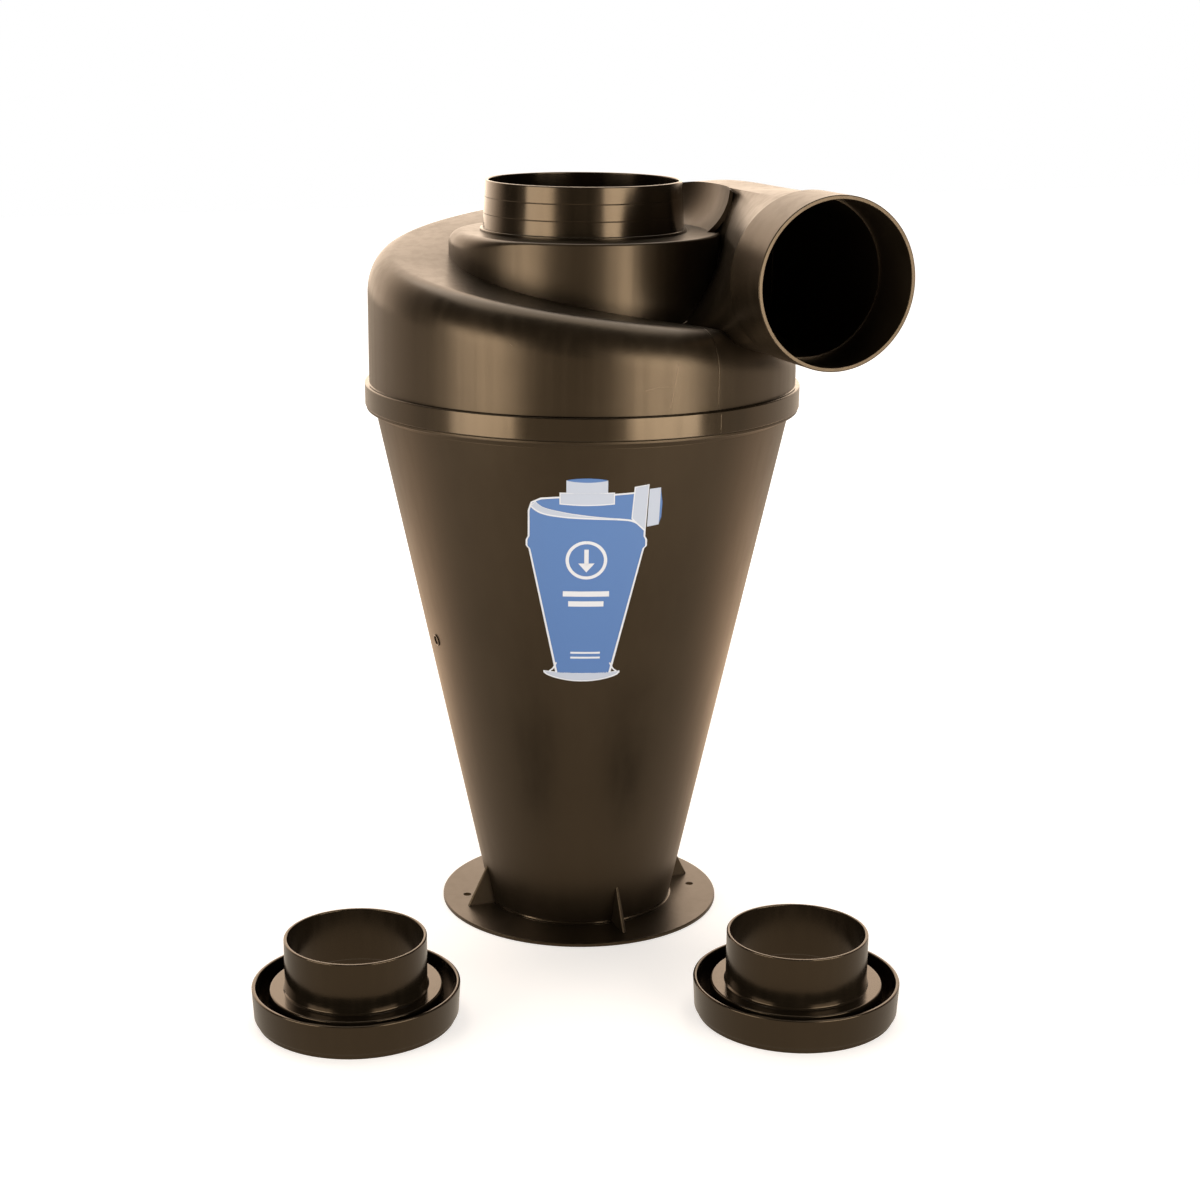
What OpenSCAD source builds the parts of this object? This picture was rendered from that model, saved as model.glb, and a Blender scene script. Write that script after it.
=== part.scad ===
// Cyclone dust separator with two loose port reducers.
// Millimetres, +Z up. The origin is the centre of the underside of the base flange.
// The round inlet opens towards -Y on the +X side, and the air turns anticlockwise seen from above.

/* [Base flange] */
// radius of the base flange
flange_r = 111.75; // [100:0.25:130]
// thickness of the base flange
flange_t = 3; // [2:0.5:6]
// radius of the dust outlet in the middle of the flange
dust_outlet_r = 70.5; // [60:0.5:80]
// radius of the circle that the two fixing holes sit on
hole_circle_r = 92.5; // [85:0.5:105]
// radius of each fixing hole
hole_r = 3.25; // [2:0.25:5]
// turn of the first fixing hole from +X, in degrees
hole_turn = -14; // [-45:1:45]

/* [Gussets] */
// radius of a gusset's outer foot
gusset_foot_r = 97; // [85:1:108]
// height of a gusset above the flange
gusset_h = 32; // [15:1:50]
// thickness of a gusset
gusset_t = 3; // [2:0.5:5]

/* [Cone] */
// outer radius of the cone where it meets the flange
cone_foot_r = 73.5; // [70:0.5:85]
// outer radius of the cone at its top
cone_top_r = 160; // [150:0.5:170]
// height of the top of the cone above the floor
cone_top_z = 404.5; // [350:0.5:450]
// wall thickness of the cone
cone_wall = 3; // [2:0.5:5]

/* [Joint between cone and head] */
// height of the underside of the band
band_z = 410.8; // [360:0.1:460]
// height of the band
band_h = 17; // [10:0.5:30]
// outer radius of the band
band_r = 168.4; // [166:0.1:180]
// outer radius of the cone's thin rim under the band
rim_r = 167.4; // [162:0.1:175]
// thickness of that rim
rim_t = 2.6; // [2:0.1:5]

/* [Head] */
// outer radius of the round head
barrel_r = 165; // [150:0.5:175]
// wall thickness of the head
wall = 3; // [2:0.5:5]
// height of the top of the straight barrel, where the roof's own wall starts
barrel_top_z = 428.5; // [428:0.5:450]
// height of the level start of the spiral roof
roof_z = 575.6; // [560:0.2:600]
// turn at which the roof starts to fall, in degrees
fall_start = 17.6; // [0:0.2:30]
// fall of the roof over one full turn
roof_fall = 122.6; // [100:0.1:123]
// width of the roof's rounded shoulder
shoulder_w = 20.5; // [5:0.5:30]
// height of the roof's rounded shoulder
shoulder_h = 29.5; // [5:0.5:30]
// height of the flat deck round the outlet
deck_z = 543; // [520:1:560]
// thickness of the deck and of the wall below it
deck_t = 2.5; // [2:0.5:4]

/* [Outlet] */
// outer radius of the outlet collar at its mouth
outlet_r = 75; // [60:0.5:90]
// outer radius of the outlet collar at its foot
outlet_foot_r = 77.1; // [60:0.1:92]
// inner radius of the outlet
outlet_bore_r = 72.5; // [55:0.5:85]
// height of the outlet's mouth
outlet_top_z = 581.2; // [550:0.2:620]
// height of the lower end of the inner outlet tube
finder_z = 432; // [380:1:480]

/* [Inlet] */
// sideways distance of the inlet's axis from the cone's axis
inlet_x = 104.7; // [80:0.1:130]
// distance of the inlet's mouth from the cone's axis
inlet_y = 216.2; // [180:0.2:260]
// height of the inlet's axis
inlet_z = 522.6; // [480:0.2:560]
// outer radius of the inlet collar
inlet_r = 61.8; // [50:0.1:75]
// inner radius of the inlet collar
inlet_bore_r = 58.7; // [45:0.1:72]
// length of the inlet collar
inlet_len = 46; // [30:1:70]

/* [Reducers] */
// place of the first reducer, on the -X side
reducer_a = [-236.4, -156.2];
// place of the second reducer, on the +X side
reducer_b = [64.1, -264.3];
// height of a reducer
reducer_h = 62; // [50:1:80]
// outer radius of a reducer's tube at its mouth
reducer_tube_r = 51.3; // [45:0.1:56]
// outer radius of a reducer's rim
reducer_rim_r = 75.1; // [70:0.1:80]
// height of the top of the rim
reducer_rim_z = 26.3; // [20:0.1:32]
// radius of the short spigot under a reducer
reducer_spigot_r = 71.7; // [68:0.1:72.4]

/* [Label] */
// turn of the label's middle from +X, in degrees
label_turn = 249.5; // [200:0.5:300]
// thickness of the label
label_t = 0.4; // [0.3:0.1:1]

/* [Hidden] */
$fn = 120;
plastic = [0.16, 0.13, 0.10];
label_blue = [0.33, 0.52, 0.78];
cone_slope = (cone_top_r - cone_foot_r) / (cone_top_z - flange_t);
turn_step = 3;
roof_inner_t = 3;
duct_r = 60.3;
duct_wall = 2.5;
wall_r = 103;

// --- shared shapes ---

// A round tube about Z, from z0 to z1.
module ring(r_out, r_in, z0, z1) {
    translate([0, 0, z0]) difference() {
        cylinder(h = z1 - z0, r = r_out);
        translate([0, 0, -1]) cylinder(h = z1 - z0 + 2, r = r_in);
    }
}

// Side faces between cross-sections of n points each. With loop, the last section joins the first.
function skin_sides(n, m, loop) = [for (i = [0 : loop ? m - 1 : m - 2]) for (j = [0 : n - 1])
    let (k = (j + 1) % n, h = (i + 1) % m)
    each [[i * n + j, h * n + k, i * n + k], [i * n + j, h * n + j, h * n + k]]];

// A thin wall: each section runs out along one face and back along the other, point for point.
module wall_skin(sections, loop = false) {
    n = len(sections[0]);
    m = len(sections);
    ends = loop ? [] : [for (k = [0 : n / 2 - 2]) let (q = (m - 1) * n, u = n - 1 - k)
        each [[k, k + 1, u - 1], [k, u - 1, u], [q + k, q + u - 1, q + k + 1], [q + k, q + u, q + u - 1]]];
    polyhedron([for (s = sections) each s], concat(skin_sides(n, m, loop), ends), convexity = 12);
}

// A full solid: each end is closed by triangles about the point first or last.
module solid_skin(sections, first, last) {
    n = len(sections[0]);
    m = len(sections);
    q = (m - 1) * n;
    ends = [for (j = [0 : n - 1]) let (k = (j + 1) % n) each [[m * n, j, k], [m * n + 1, q + k, q + j]]];
    points = concat([for (s = sections) each s], [first, last]);
    polyhedron(points, concat(skin_sides(n, m, false), ends), convexity = 12);
}

// A point at radius r and height z, turned t degrees about Z.
function at(t, r, z) = [r * cos(t), r * sin(t), z];
function clamp(v, lo, hi) = min(max(v, lo), hi);
function ease(v) = let (c = clamp(v, 0, 1)) c * c * (3 - 2 * c);
function mix(a, b, s) = a + (b - a) * s;

// Height of the roof's outside at turn t: level beside the inlet, then an even fall.
function roof_at(t) = let (x = t - fall_start) roof_z - roof_fall / 360 * (x + sqrt(x * x + 36)) / 2;
// How far the wall swells outwards towards its end beside the inlet duct.
function swell(t) = 1.5 * ease((t - 290) / 40);
// Radius of the deck's edge: wide in front, tighter at the left and at the back.
function deck_edge(t) = t < 185 ? mix(bowl_r(deck_z), 93.5, t / 185) : mix(93.5, 101.2, ease((t - 185) / 45)) + swell(t);
// Radius at height z of the hollow wall above the deck: a quarter circle that ends upright.
function bowl_r(z) = 67.6 + sqrt(43.4 * 43.4 - (577 - z) * (577 - z));
// Radius of the wall where it meets the roof.
function roof_edge(t) = let (z = roof_at(t))
    z > deck_z ? bowl_r(z) : mix(bowl_r(deck_z), wall_r, ease((deck_z - z) / 17)) + swell(t);
// Sideways step through the wall: towards the channel above the deck, towards the outlet below it.
function wall_step(t) = deck_t * clamp((roof_at(t) - deck_z) / 4, -1, 1);

// --- lower moulding ---

module base_flange() {
    color(plastic) difference() {
        cylinder(h = flange_t, r = flange_r);
        translate([0, 0, -1]) cylinder(h = flange_t + 2, r = dust_outlet_r);
        for (k = [0, 1])
            rotate(hole_turn + 180 * k) translate([hole_circle_r, 0, -1]) cylinder(h = flange_t + 2, r = hole_r, $fn = 48);
    }
}

module gusset(turn) {
    color(plastic) rotate(turn) difference() {
        rotate([90, 0, 0]) translate([0, 0, -gusset_t / 2]) linear_extrude(gusset_t)
            polygon([
                [cone_foot_r - 1, flange_t],
                [gusset_foot_r, flange_t],
                [cone_foot_r + cone_slope * gusset_h, flange_t + gusset_h],
                [cone_foot_r - 1, flange_t + gusset_h]
            ]);
        cone_body();
    }
}

// The full cone up to its top, without its bore.
module cone_body() {
    translate([0, 0, flange_t]) cylinder(h = cone_top_z - flange_t, r1 = cone_foot_r, r2 = cone_top_r);
}

module lower_cone() {
    color(plastic) rotate_extrude() polygon([
        [cone_foot_r - cone_wall, flange_t],
        [cone_foot_r, flange_t],
        [cone_top_r, cone_top_z],
        [cone_top_r - cone_wall, cone_top_z]
    ]);
}

// A small round moulding mark on the cone's left flank.
module gate_boss() {
    z = 230.5;
    color(plastic) rotate(182) translate([cone_foot_r + cone_slope * (z - flange_t), 0, z])
        rotate([0, 90 + atan(cone_slope), 0]) ring(4.8, 3.4, 0, 1);
}

module cone_rim() {
    color(plastic) rotate_extrude() polygon([
        [cone_top_r - cone_wall, cone_top_z],
        [cone_top_r, cone_top_z],
        [cone_top_r + 2, band_z - rim_t],
        [rim_r, band_z - rim_t],
        [rim_r, band_z],
        [barrel_r - wall - 0.3, band_z],
        [barrel_r - wall - 0.3, band_z + 14],
        [barrel_r - wall - 2.5, band_z + 14],
        [barrel_r - wall - 2.5, band_z - 1]
    ]);
}

// --- head moulding ---

module joint_band() {
    color(plastic) ring(band_r, barrel_r, band_z, band_z + band_h);
}

module head_barrel() {
    color(plastic) ring(barrel_r, barrel_r - wall, band_z, barrel_top_z);
}

// The roof's rounded shoulder at turn t, moved inwards by inset: a quarter ellipse.
function shoulder(t, inset) = let (cr = barrel_r - shoulder_w, cz = roof_at(t) - shoulder_h)
    [for (a = [90 : -15 : 0]) at(t, cr + (shoulder_w - inset) * cos(a), cz + (shoulder_h - inset) * sin(a))];

// The roof's section at turn t: out along the top, round the shoulder and down to the barrel, then back inside.
function roof_section(t) = let (
    z = roof_at(t),
    ri = roof_edge(t),
    cr = barrel_r - shoulder_w
) concat(
    [at(t, ri, z), at(t, (ri + cr) / 2, z)],
    shoulder(t, 0),
    [at(t, barrel_r, barrel_top_z), at(t, barrel_r - wall, barrel_top_z)],
    [for (k = [6 : -1 : 0]) shoulder(t, roof_inner_t)[k]],
    [at(t, (ri + cr) / 2, z - roof_inner_t), at(t, ri + wall_step(t), z - deck_t)]
);

module helical_roof() {
    turns = concat([for (t = [0 : turn_step : 357]) t], [359.9]);
    color(plastic) wall_skin([for (t = turns) roof_section(t)]);
}

// The wall between the deck's edge and the roof's inner edge, at turn t. Its top edge is
// rounded where the roof lies below the deck.
function pedestal_section(t) = let (
    z = roof_at(t),
    rd = deck_edge(t),
    rr = roof_edge(t),
    bend = clamp((deck_z - z) / 12, 0, 1) * min(rr - rd, deck_z - z),
    dr = wall_step(t),
    outer = z < deck_z
        ? concat(
            [for (a = [0 : 18 : 90]) [mix(rd, rr, sin(a)), deck_z - bend * (1 - cos(a))]],
            [[rr, z]])
        : [for (k = [0 : 6]) let (h = mix(deck_z, z, k / 6)) [bowl_r(h), h]]
) concat(
    [for (p = outer) at(t, p[0], p[1])],
    [for (k = [len(outer) - 1 : -1 : 0]) at(t, outer[k][0] + dr, outer[k][1] - deck_t)]
);

module pedestal_wall() {
    color(plastic) difference() {
        wall_skin([for (t = [0 : turn_step : 333]) pedestal_section(t)]);
        duct_solid(0, 0.2);
    }
    color(plastic) intersection() {
        wall_skin([for (t = [-27 : turn_step : 3]) pedestal_section(t)]);
        duct_solid(0, 0.2);
    }
}

// Everything inside the hollow wall above the deck, with the wall itself.
module bowl_solid() {
    rotate_extrude() polygon(concat(
        [[0, deck_z - deck_t - 3], [bowl_r(deck_z) + deck_t, deck_z - deck_t - 3]],
        [for (k = [0 : 6]) let (h = mix(deck_z, roof_at(0), k / 6)) [bowl_r(h) + deck_t, h - deck_t]],
        [[bowl_r(roof_at(0)), roof_at(0)], [bowl_r(roof_at(0)), roof_z + 20], [0, roof_z + 20]]
    ));
}

// The flat plate round the outlet: out to the deck's edge, and to the duct's side wall.
module outlet_deck() {
    hole = outlet_r + 0.05;
    color(plastic) difference() {
        wall_skin([for (t = [0 : turn_step : 357]) let (u = t > 330 ? 0 : t) [
            at(t, hole, deck_z),
            at(t, deck_edge(u), deck_z),
            at(t, deck_edge(u) + wall_step(u), deck_z - deck_t),
            at(t, hole, deck_z - deck_t)
        ]], loop = true);
        duct_solid(0, 0.2);
    }
}

module outlet_foot_ring() {
    color(plastic) ring(outlet_foot_r + 2, outlet_foot_r, deck_z, deck_z + 2.2);
}

module outlet_collar() {
    color(plastic) difference() {
        translate([0, 0, deck_z]) cylinder(h = outlet_top_z - deck_z, r1 = outlet_foot_r, r2 = outlet_r);
        translate([0, 0, deck_z - 1]) cylinder(h = outlet_top_z - deck_z + 2, r = outlet_bore_r);
    }
}

module outlet_tube() {
    color(plastic) ring(outlet_r, outlet_bore_r, finder_z, deck_z);
}

// --- inlet ---

// The duct's outline where it meets the roof: [x, z, matching angle on the round inlet].
// It runs clockwise from the inner top corner, seen from the inlet's mouth.
duct_points = let (
    xr = barrel_r - shoulder_w,
    top = roof_at(0),
    zt = top - shoulder_h,
    zb = roof_at(360)
) concat(
    [for (k = [0 : 5]) [mix(104, xr, k / 6), top, mix(111, 75, k / 6)]],
    [for (k = [0 : 7]) [xr + shoulder_w * sin(90 * k / 8), zt + shoulder_h * cos(90 * k / 8), mix(75, 20, k / 8)]],
    [for (k = [0 : 4]) [barrel_r, mix(zt, zb + 20, k / 5), mix(20, -40, k / 5)]],
    [for (k = [0 : 5]) [barrel_r - 20 * (1 - cos(90 * k / 6)), zb + 20 * (1 - sin(90 * k / 6)), mix(-40, -75, k / 6)]],
    [for (k = [0 : 3]) [mix(barrel_r - 20, 92, k / 4), zb, mix(-75, -112, k / 4)]],
    [for (k = [0 : 4]) [mix(92, 32, k / 4), mix(zb, 464, k / 4), mix(-112, -132, k / 4)]],
    [for (a = [0 : 10 : 80]) [32 + 60 * pow(sin(a), 1.2), 542 - 62 * pow(cos(a), 1.2), mix(-138, -200, a / 90)]],
    [for (k = [0 : 4]) [mix(92, 104, k / 5), mix(542, top, k / 5), mix(-200, -249, k / 5)]]
);

// The outline a share s of the way from round to its full shape, moved inwards by inset.
function duct_outline(s, inset) = let (
    n = len(duct_points),
    p = [for (d = duct_points) [
        mix(inlet_x + duct_r * cos(d[2]), d[0], s),
        mix(inlet_z + duct_r * sin(d[2]), d[1], s)
    ]]
) [for (k = [0 : n - 1]) let (
    v = p[(k + 1) % n] - p[(k + n - 1) % n],
    l = norm(v)
) p[k] + inset * [v[1], -v[0]] / l];

// The duct as one solid from the collar to the roof, moved inwards by inset and run on past both ends.
module duct_solid(inset, past) {
    y0 = inlet_y - inlet_len;
    blend_len = y0 - 58;
    ys = concat([-y0 - past], [for (k = [0 : 10]) -y0 + blend_len * k / 10], [-40, -20, past]);
    solid_skin(
        [for (y = ys) [for (p = duct_outline(clamp((y + y0) / blend_len, 0, 1), inset)) [p[0], y, p[1]]]],
        [100, ys[0], 482],
        [100, past, 482]
    );
}

// Everything under the roof's outside, over the stretch that the duct crosses.
module under_roof() {
    low = barrel_top_z - 20;
    solid_skin(
        [for (t = [237 : turn_step : 360]) let (z = roof_at(t)) concat(
            [at(t, 99, low), at(t, 99, z), at(t, roof_edge(t), z)],
            shoulder(t, 0),
            [at(t, barrel_r, low)]
        )],
        at(237, 130, low + 5),
        at(360, 130, low + 5)
    );
}

// The web that closes the corner between the rounded low end of the roof and the roof's high start.
module corner_web() {
    c = barrel_r - shoulder_w;
    z = roof_at(360);
    rotate([90, 0, 0]) linear_extrude(3) polygon(concat(
        [for (a = [12 : 6 : 90]) [c + shoulder_w * sin(a), z - shoulder_h * (1 - cos(a))]],
        [[barrel_r, z + 1], [c + shoulder_w * sin(12), z + 1]]
    ));
}

module inlet_duct() {
    color(plastic) difference() {
        union() {
            duct_solid(0, 0);
            corner_web();
        }
        duct_solid(duct_wall, 1);
        under_roof();
        bowl_solid();
        translate([0, 0, barrel_top_z - 20]) cylinder(h = deck_z - deck_t - barrel_top_z + 20, r = wall_r - deck_t);
    }
}

module inlet_collar() {
    color(plastic) translate([inlet_x, inlet_len - inlet_y, inlet_z]) rotate([90, 0, 0]) ring(inlet_r, inlet_bore_r, 0, inlet_len);
}

// --- label ---

// Outline of the printed label, a side view of the separator itself: [sideways, height].
label_outline = [
    [-1, 218.5], [-19, 220.5], [-31, 226], [-23, 233], [-42, 326], [-44, 327.5], [-44, 333.5], [-42.5, 336],
    [-42.5, 358], [-40, 364], [-34, 366.5], [-19.5, 367.5], [-19.5, 369.5], [-14.5, 370], [-14.5, 378.5],
    [1, 380], [16.5, 378.5], [16.5, 370], [21, 369.5], [21, 368], [36, 370.5], [36.5, 373], [46.5, 374.5],
    [47, 371.5], [55, 372.5], [56.5, 357.5], [54, 342], [45.5, 341], [45, 338.5], [42.5, 337], [44, 333.5],
    [44, 327.5], [42, 326], [19, 233], [26, 226], [19, 221.5]
];

module label() {
    color(label_blue) intersection() {
        rotate_extrude() polygon([for (p = [[210, 0], [390, 0], [390, label_t], [210, label_t]])
            [cone_foot_r + cone_slope * (p[0] - flange_t) + p[1], p[0]]]);
        rotate(label_turn) translate([60, 0, 0]) rotate([90, 0, 90]) linear_extrude(110) polygon(label_outline);
    }
}

// --- reducers ---

module reducer_tube(place) {
    color(plastic) translate(place) rotate_extrude() polygon([
        [reducer_tube_r - 2.4, 24],
        [reducer_tube_r + 1.2, 24],
        [reducer_tube_r, 30],
        [reducer_tube_r, reducer_h],
        [reducer_tube_r - 2.4, reducer_h]
    ]);
}

// The raised hood: its flat top carries the tube, and its wall is the socket underneath.
module reducer_shoulder(place) {
    color(plastic) translate(place) rotate_extrude() polygon([
        [reducer_tube_r - 2.4, 21.6],
        [62, 21.6],
        [62, 4],
        [64.4, 4],
        [62.4, 24],
        [reducer_tube_r - 2.4, 24]
    ]);
}

module reducer_floor(place) {
    color(plastic) translate(place) ring(72.3, 64.4, 4, 6.2);
}

module reducer_rim(place) {
    color(plastic) translate(place) rotate_extrude() polygon([
        [72.3, 4],
        [reducer_rim_r - 1.1, 4],
        [reducer_rim_r, reducer_rim_z],
        [72.3, reducer_rim_z]
    ]);
}

module reducer_spigot(place) {
    color(plastic) translate(place) ring(reducer_spigot_r, reducer_spigot_r - 2.4, 0, 4);
}

// --- output ---

base_flange();
gusset(0);  // gusset_right
gusset(90);  // gusset_back
gusset(180);  // gusset_left
gusset(270);  // gusset_front
lower_cone();
gate_boss();
cone_rim();
joint_band();
head_barrel();
helical_roof();
pedestal_wall();
outlet_deck();
outlet_foot_ring();
outlet_collar();
outlet_tube();
inlet_duct();
inlet_collar();
label();
reducer_tube(reducer_a);  // reducer_a_tube
reducer_shoulder(reducer_a);  // reducer_a_shoulder
reducer_floor(reducer_a);  // reducer_a_floor
reducer_rim(reducer_a);  // reducer_a_rim
reducer_spigot(reducer_a);  // reducer_a_spigot
reducer_tube(reducer_b);  // reducer_b_tube
reducer_shoulder(reducer_b);  // reducer_b_shoulder
reducer_floor(reducer_b);  // reducer_b_floor
reducer_rim(reducer_b);  // reducer_b_rim
reducer_spigot(reducer_b);  // reducer_b_spigot
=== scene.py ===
"""Looks for the cyclone dust separator and its two port reducers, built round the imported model."""

import sys

import logging
import math
from dataclasses import dataclass, field
from enum import Enum
from typing import Sequence

import bpy
import numpy as np
from mathutils import Matrix, Vector


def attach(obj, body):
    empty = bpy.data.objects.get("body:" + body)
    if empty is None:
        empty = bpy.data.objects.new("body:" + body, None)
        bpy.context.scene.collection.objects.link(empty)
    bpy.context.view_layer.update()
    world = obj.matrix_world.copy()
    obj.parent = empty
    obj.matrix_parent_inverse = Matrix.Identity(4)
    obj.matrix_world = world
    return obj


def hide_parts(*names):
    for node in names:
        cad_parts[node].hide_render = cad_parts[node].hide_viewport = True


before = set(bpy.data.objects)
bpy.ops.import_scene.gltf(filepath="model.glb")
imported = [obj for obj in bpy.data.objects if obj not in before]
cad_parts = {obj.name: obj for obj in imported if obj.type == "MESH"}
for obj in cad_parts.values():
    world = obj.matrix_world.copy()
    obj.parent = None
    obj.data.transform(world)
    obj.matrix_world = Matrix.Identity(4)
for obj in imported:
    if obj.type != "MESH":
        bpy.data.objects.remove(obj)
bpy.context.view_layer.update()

log = logging.getLogger("separator")
MM = 0.001
TAU = 2 * math.pi
CUT_CREASE = 32.0
Array = np.ndarray
Colour = tuple[float, float, float]
Place = tuple[float, float, float]
Point = tuple[float, float]
Corners = Sequence[tuple[float, float, float]]


class Slot(Enum):
    """The record's material slots."""

    BODY = "body_plastic"
    GLOSS = "gloss_plastic"
    LABEL = "label_vinyl"


# --- shader expressions ---


class Value:
    """A shader socket that takes part in Python arithmetic, adding Math nodes as it goes."""

    def __init__(self, graph: "Graph", socket: bpy.types.NodeSocket) -> None:
        """Wraps one output socket of a graph."""
        self.graph = graph
        self.socket = socket

    def _math(self, operation: str, *inputs: "Value | float") -> "Value":
        """Adds one Math node and returns its result."""
        return self.graph.add("ShaderNodeMath", {"operation": operation}, dict(enumerate(inputs)))

    def __add__(self, other: "Value | float") -> "Value":
        """Sum."""
        return self._math("ADD", self, other)

    __radd__ = __add__

    def __sub__(self, other: "Value | float") -> "Value":
        """Difference."""
        return self._math("SUBTRACT", self, other)

    def __rsub__(self, other: float) -> "Value":
        """Difference with the number on the left."""
        return self._math("SUBTRACT", other, self)

    def __mul__(self, other: "Value | float") -> "Value":
        """Product."""
        return self._math("MULTIPLY", self, other)

    __rmul__ = __mul__

    def at_least(self, other: "Value | float") -> "Value":
        """The larger of two values."""
        return self._math("MAXIMUM", self, other)

    def at_most(self, other: "Value | float") -> "Value":
        """The smaller of two values."""
        return self._math("MINIMUM", self, other)

    def ramp(self, low: float, high: float, to_low: float = 0.0, to_high: float = 1.0) -> "Value":
        """Maps low..high smoothly to to_low..to_high.

        Args:
            low: input value that gives to_low.
            high: input value that gives to_high.
            to_low: result at and below low.
            to_high: result at and above high.

        Returns:
            The mapped value, eased at both ends.
        """
        return self.graph.add(
            "ShaderNodeMapRange",
            {"interpolation_type": "SMOOTHSTEP", "clamp": True},
            {"Value": self, "From Min": low, "From Max": high, "To Min": to_low, "To Max": to_high},
        )


class Graph:
    """One material's node tree, with one method that adds any node."""

    def __init__(self, name: str) -> None:
        """Starts an empty material with a Principled shader."""
        self.material = bpy.data.materials.new(name)
        self.material.use_nodes = True
        self.tree = self.material.node_tree
        self.shader = next(n for n in self.tree.nodes if n.type == "BSDF_PRINCIPLED")

    def add(
        self, kind: str, settings: dict | None = None, inputs: dict | None = None, out: int | str = 0
    ) -> Value:
        """Adds a node.

        Args:
            kind: the node's type name.
            settings: attributes set before anything is linked.
            inputs: socket name or number to a value, colour, vector or another Value.
            out: the output socket to return.

        Returns:
            The chosen output, ready for arithmetic.
        """
        node = self.tree.nodes.new(kind)
        for key, setting in (settings or {}).items():
            setattr(node, key, setting)
        for key, value in (inputs or {}).items():
            socket = node.inputs[key]
            if isinstance(value, Value):
                self.tree.links.new(value.socket, socket)
            else:
                socket.default_value = value
        return Value(self, node.outputs[out])

    def feed(self, name: str, value: "Value | float | tuple") -> None:
        """Links or sets one input of the Principled shader."""
        socket = self.shader.inputs[name]
        if isinstance(value, Value):
            self.tree.links.new(value.socket, socket)
        else:
            socket.default_value = value

    def position(self, scale: Place = (1.0, 1.0, 1.0), move: Place = (0.0, 0.0, 0.0)) -> Value:
        """Object coordinates, scaled and moved."""
        place = self.add("ShaderNodeTexCoord", out="Object")
        return self.add("ShaderNodeMapping", {}, {"Vector": place, "Scale": scale, "Location": move})

    def vector_math(self, operation: str, *vectors: "Value | Place") -> Value:
        """A number worked out from one or two vectors."""
        inputs = dict(enumerate(vectors))
        return self.add("ShaderNodeVectorMath", {"operation": operation}, inputs, out="Value")

    def noise(self, vector: Value, scale: float, detail: float = 2.0, roughness: float = 0.5) -> Value:
        """A smooth random value round 0.5."""
        inputs = {"Vector": vector, "Scale": scale, "Detail": detail, "Roughness": roughness}
        return self.add("ShaderNodeTexNoise", {}, inputs)

    def bump(self, strength: float, distance: float, height: Value) -> Value:
        """A normal bent by a height."""
        return self.add("ShaderNodeBump", {}, {"Strength": strength, "Distance": distance, "Height": height})

    def blend(self, share: "Value | float", a: "Value | Colour", b: "Value | Colour") -> Value:
        """A colour between a and b."""
        a, b = ((*c, 1.0) if isinstance(c, tuple) else c for c in (a, b))
        return self.add("ShaderNodeMix", {"data_type": "RGBA"}, {"Factor": share, 6: a, 7: b}, out=2)

    def distance_to_line(self, start: Place, end: Place) -> Value:
        """Distance from a point of the surface to a straight line between two points.

        Args:
            start: one end, in metres.
            end: the other end, in metres.

        Returns:
            The distance: the length of (p - start) less its clamped share along the line.
        """
        a, line = Vector(start), Vector(end) - Vector(start)
        length = line.length
        from_start = self.position(move=tuple(-a))
        direction = tuple(line / length)
        along = self.vector_math("DOT_PRODUCT", from_start, direction).at_least(0.0).at_most(length)
        nearest = self.add("ShaderNodeVectorMath", {"operation": "SCALE"}, {0: direction, "Scale": along})
        return self.vector_math("DISTANCE", from_start, nearest)


# --- finishes ---


@dataclass(frozen=True)
class Scratch:
    """A fine pale scratch between two points on a surface."""

    start: Place
    end: Place
    width: float = 0.0005
    depth: float = 0.6


@dataclass(frozen=True)
class MouldedPlastic:
    """Dark brown-black moulded plastic, from satin to glossy."""

    name: str
    tone: Colour
    worn_tone: Colour
    roughness: float
    rough_spread: float
    grain: float
    streaks: float
    reflected: Colour = (1.0, 0.74, 0.48)
    scratches: tuple[Scratch, ...] = ()
    scratch_tone: Colour = (0.16, 0.12, 0.085)

    def build(self) -> bpy.types.Material:
        """Makes the material.

        Clouds and upright streaks of noise shift the colour and the gloss a little, fine grain and
        slow waviness bend the reflections, and each scratch is a thin paler, duller line.
        """
        g = Graph(self.name)
        clouds = g.noise(g.position(), 9.0, 4.0, 0.6).ramp(0.3, 0.7)
        streaks = g.noise(g.position((140.0, 140.0, 3.0)), 1.0, 3.0, 0.55).ramp(0.38, 0.68)
        dust = g.noise(g.position(), 620.0, 1.0, 0.5).ramp(0.68, 0.78)
        marks = clouds * 0.35 + streaks * self.streaks + dust * 0.25
        tone = g.blend(marks.at_most(1.0), self.tone, self.worn_tone)
        rough = clouds * self.rough_spread + streaks * (self.rough_spread * 0.8) + self.roughness
        lines = []
        for s in self.scratches:
            beside = g.distance_to_line(s.start, s.end).ramp(s.width * 0.4, s.width)
            lines.append((1.0 - beside) * s.depth)
        if lines:
            scratched = sum(lines[1:], lines[0])
            tone = g.blend(scratched.at_most(1.0), tone, self.scratch_tone)
            rough = rough + scratched * 0.2
        g.feed("Base Color", tone)
        g.feed("Roughness", rough.at_most(0.9))
        g.feed("Specular Tint", (*self.reflected, 1.0))
        g.feed("IOR", 1.5)
        g.feed("Specular IOR Level", 0.65)
        wave = g.noise(g.position((1.0, 1.0, 0.5)), 22.0, 2.0, 0.5)
        grain = g.noise(g.position(), 1500.0, 2.0, 0.6)
        height = wave * 0.5 + grain * self.grain
        g.feed("Normal", g.bump(0.10, 0.0006, height))
        return g.material


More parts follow.
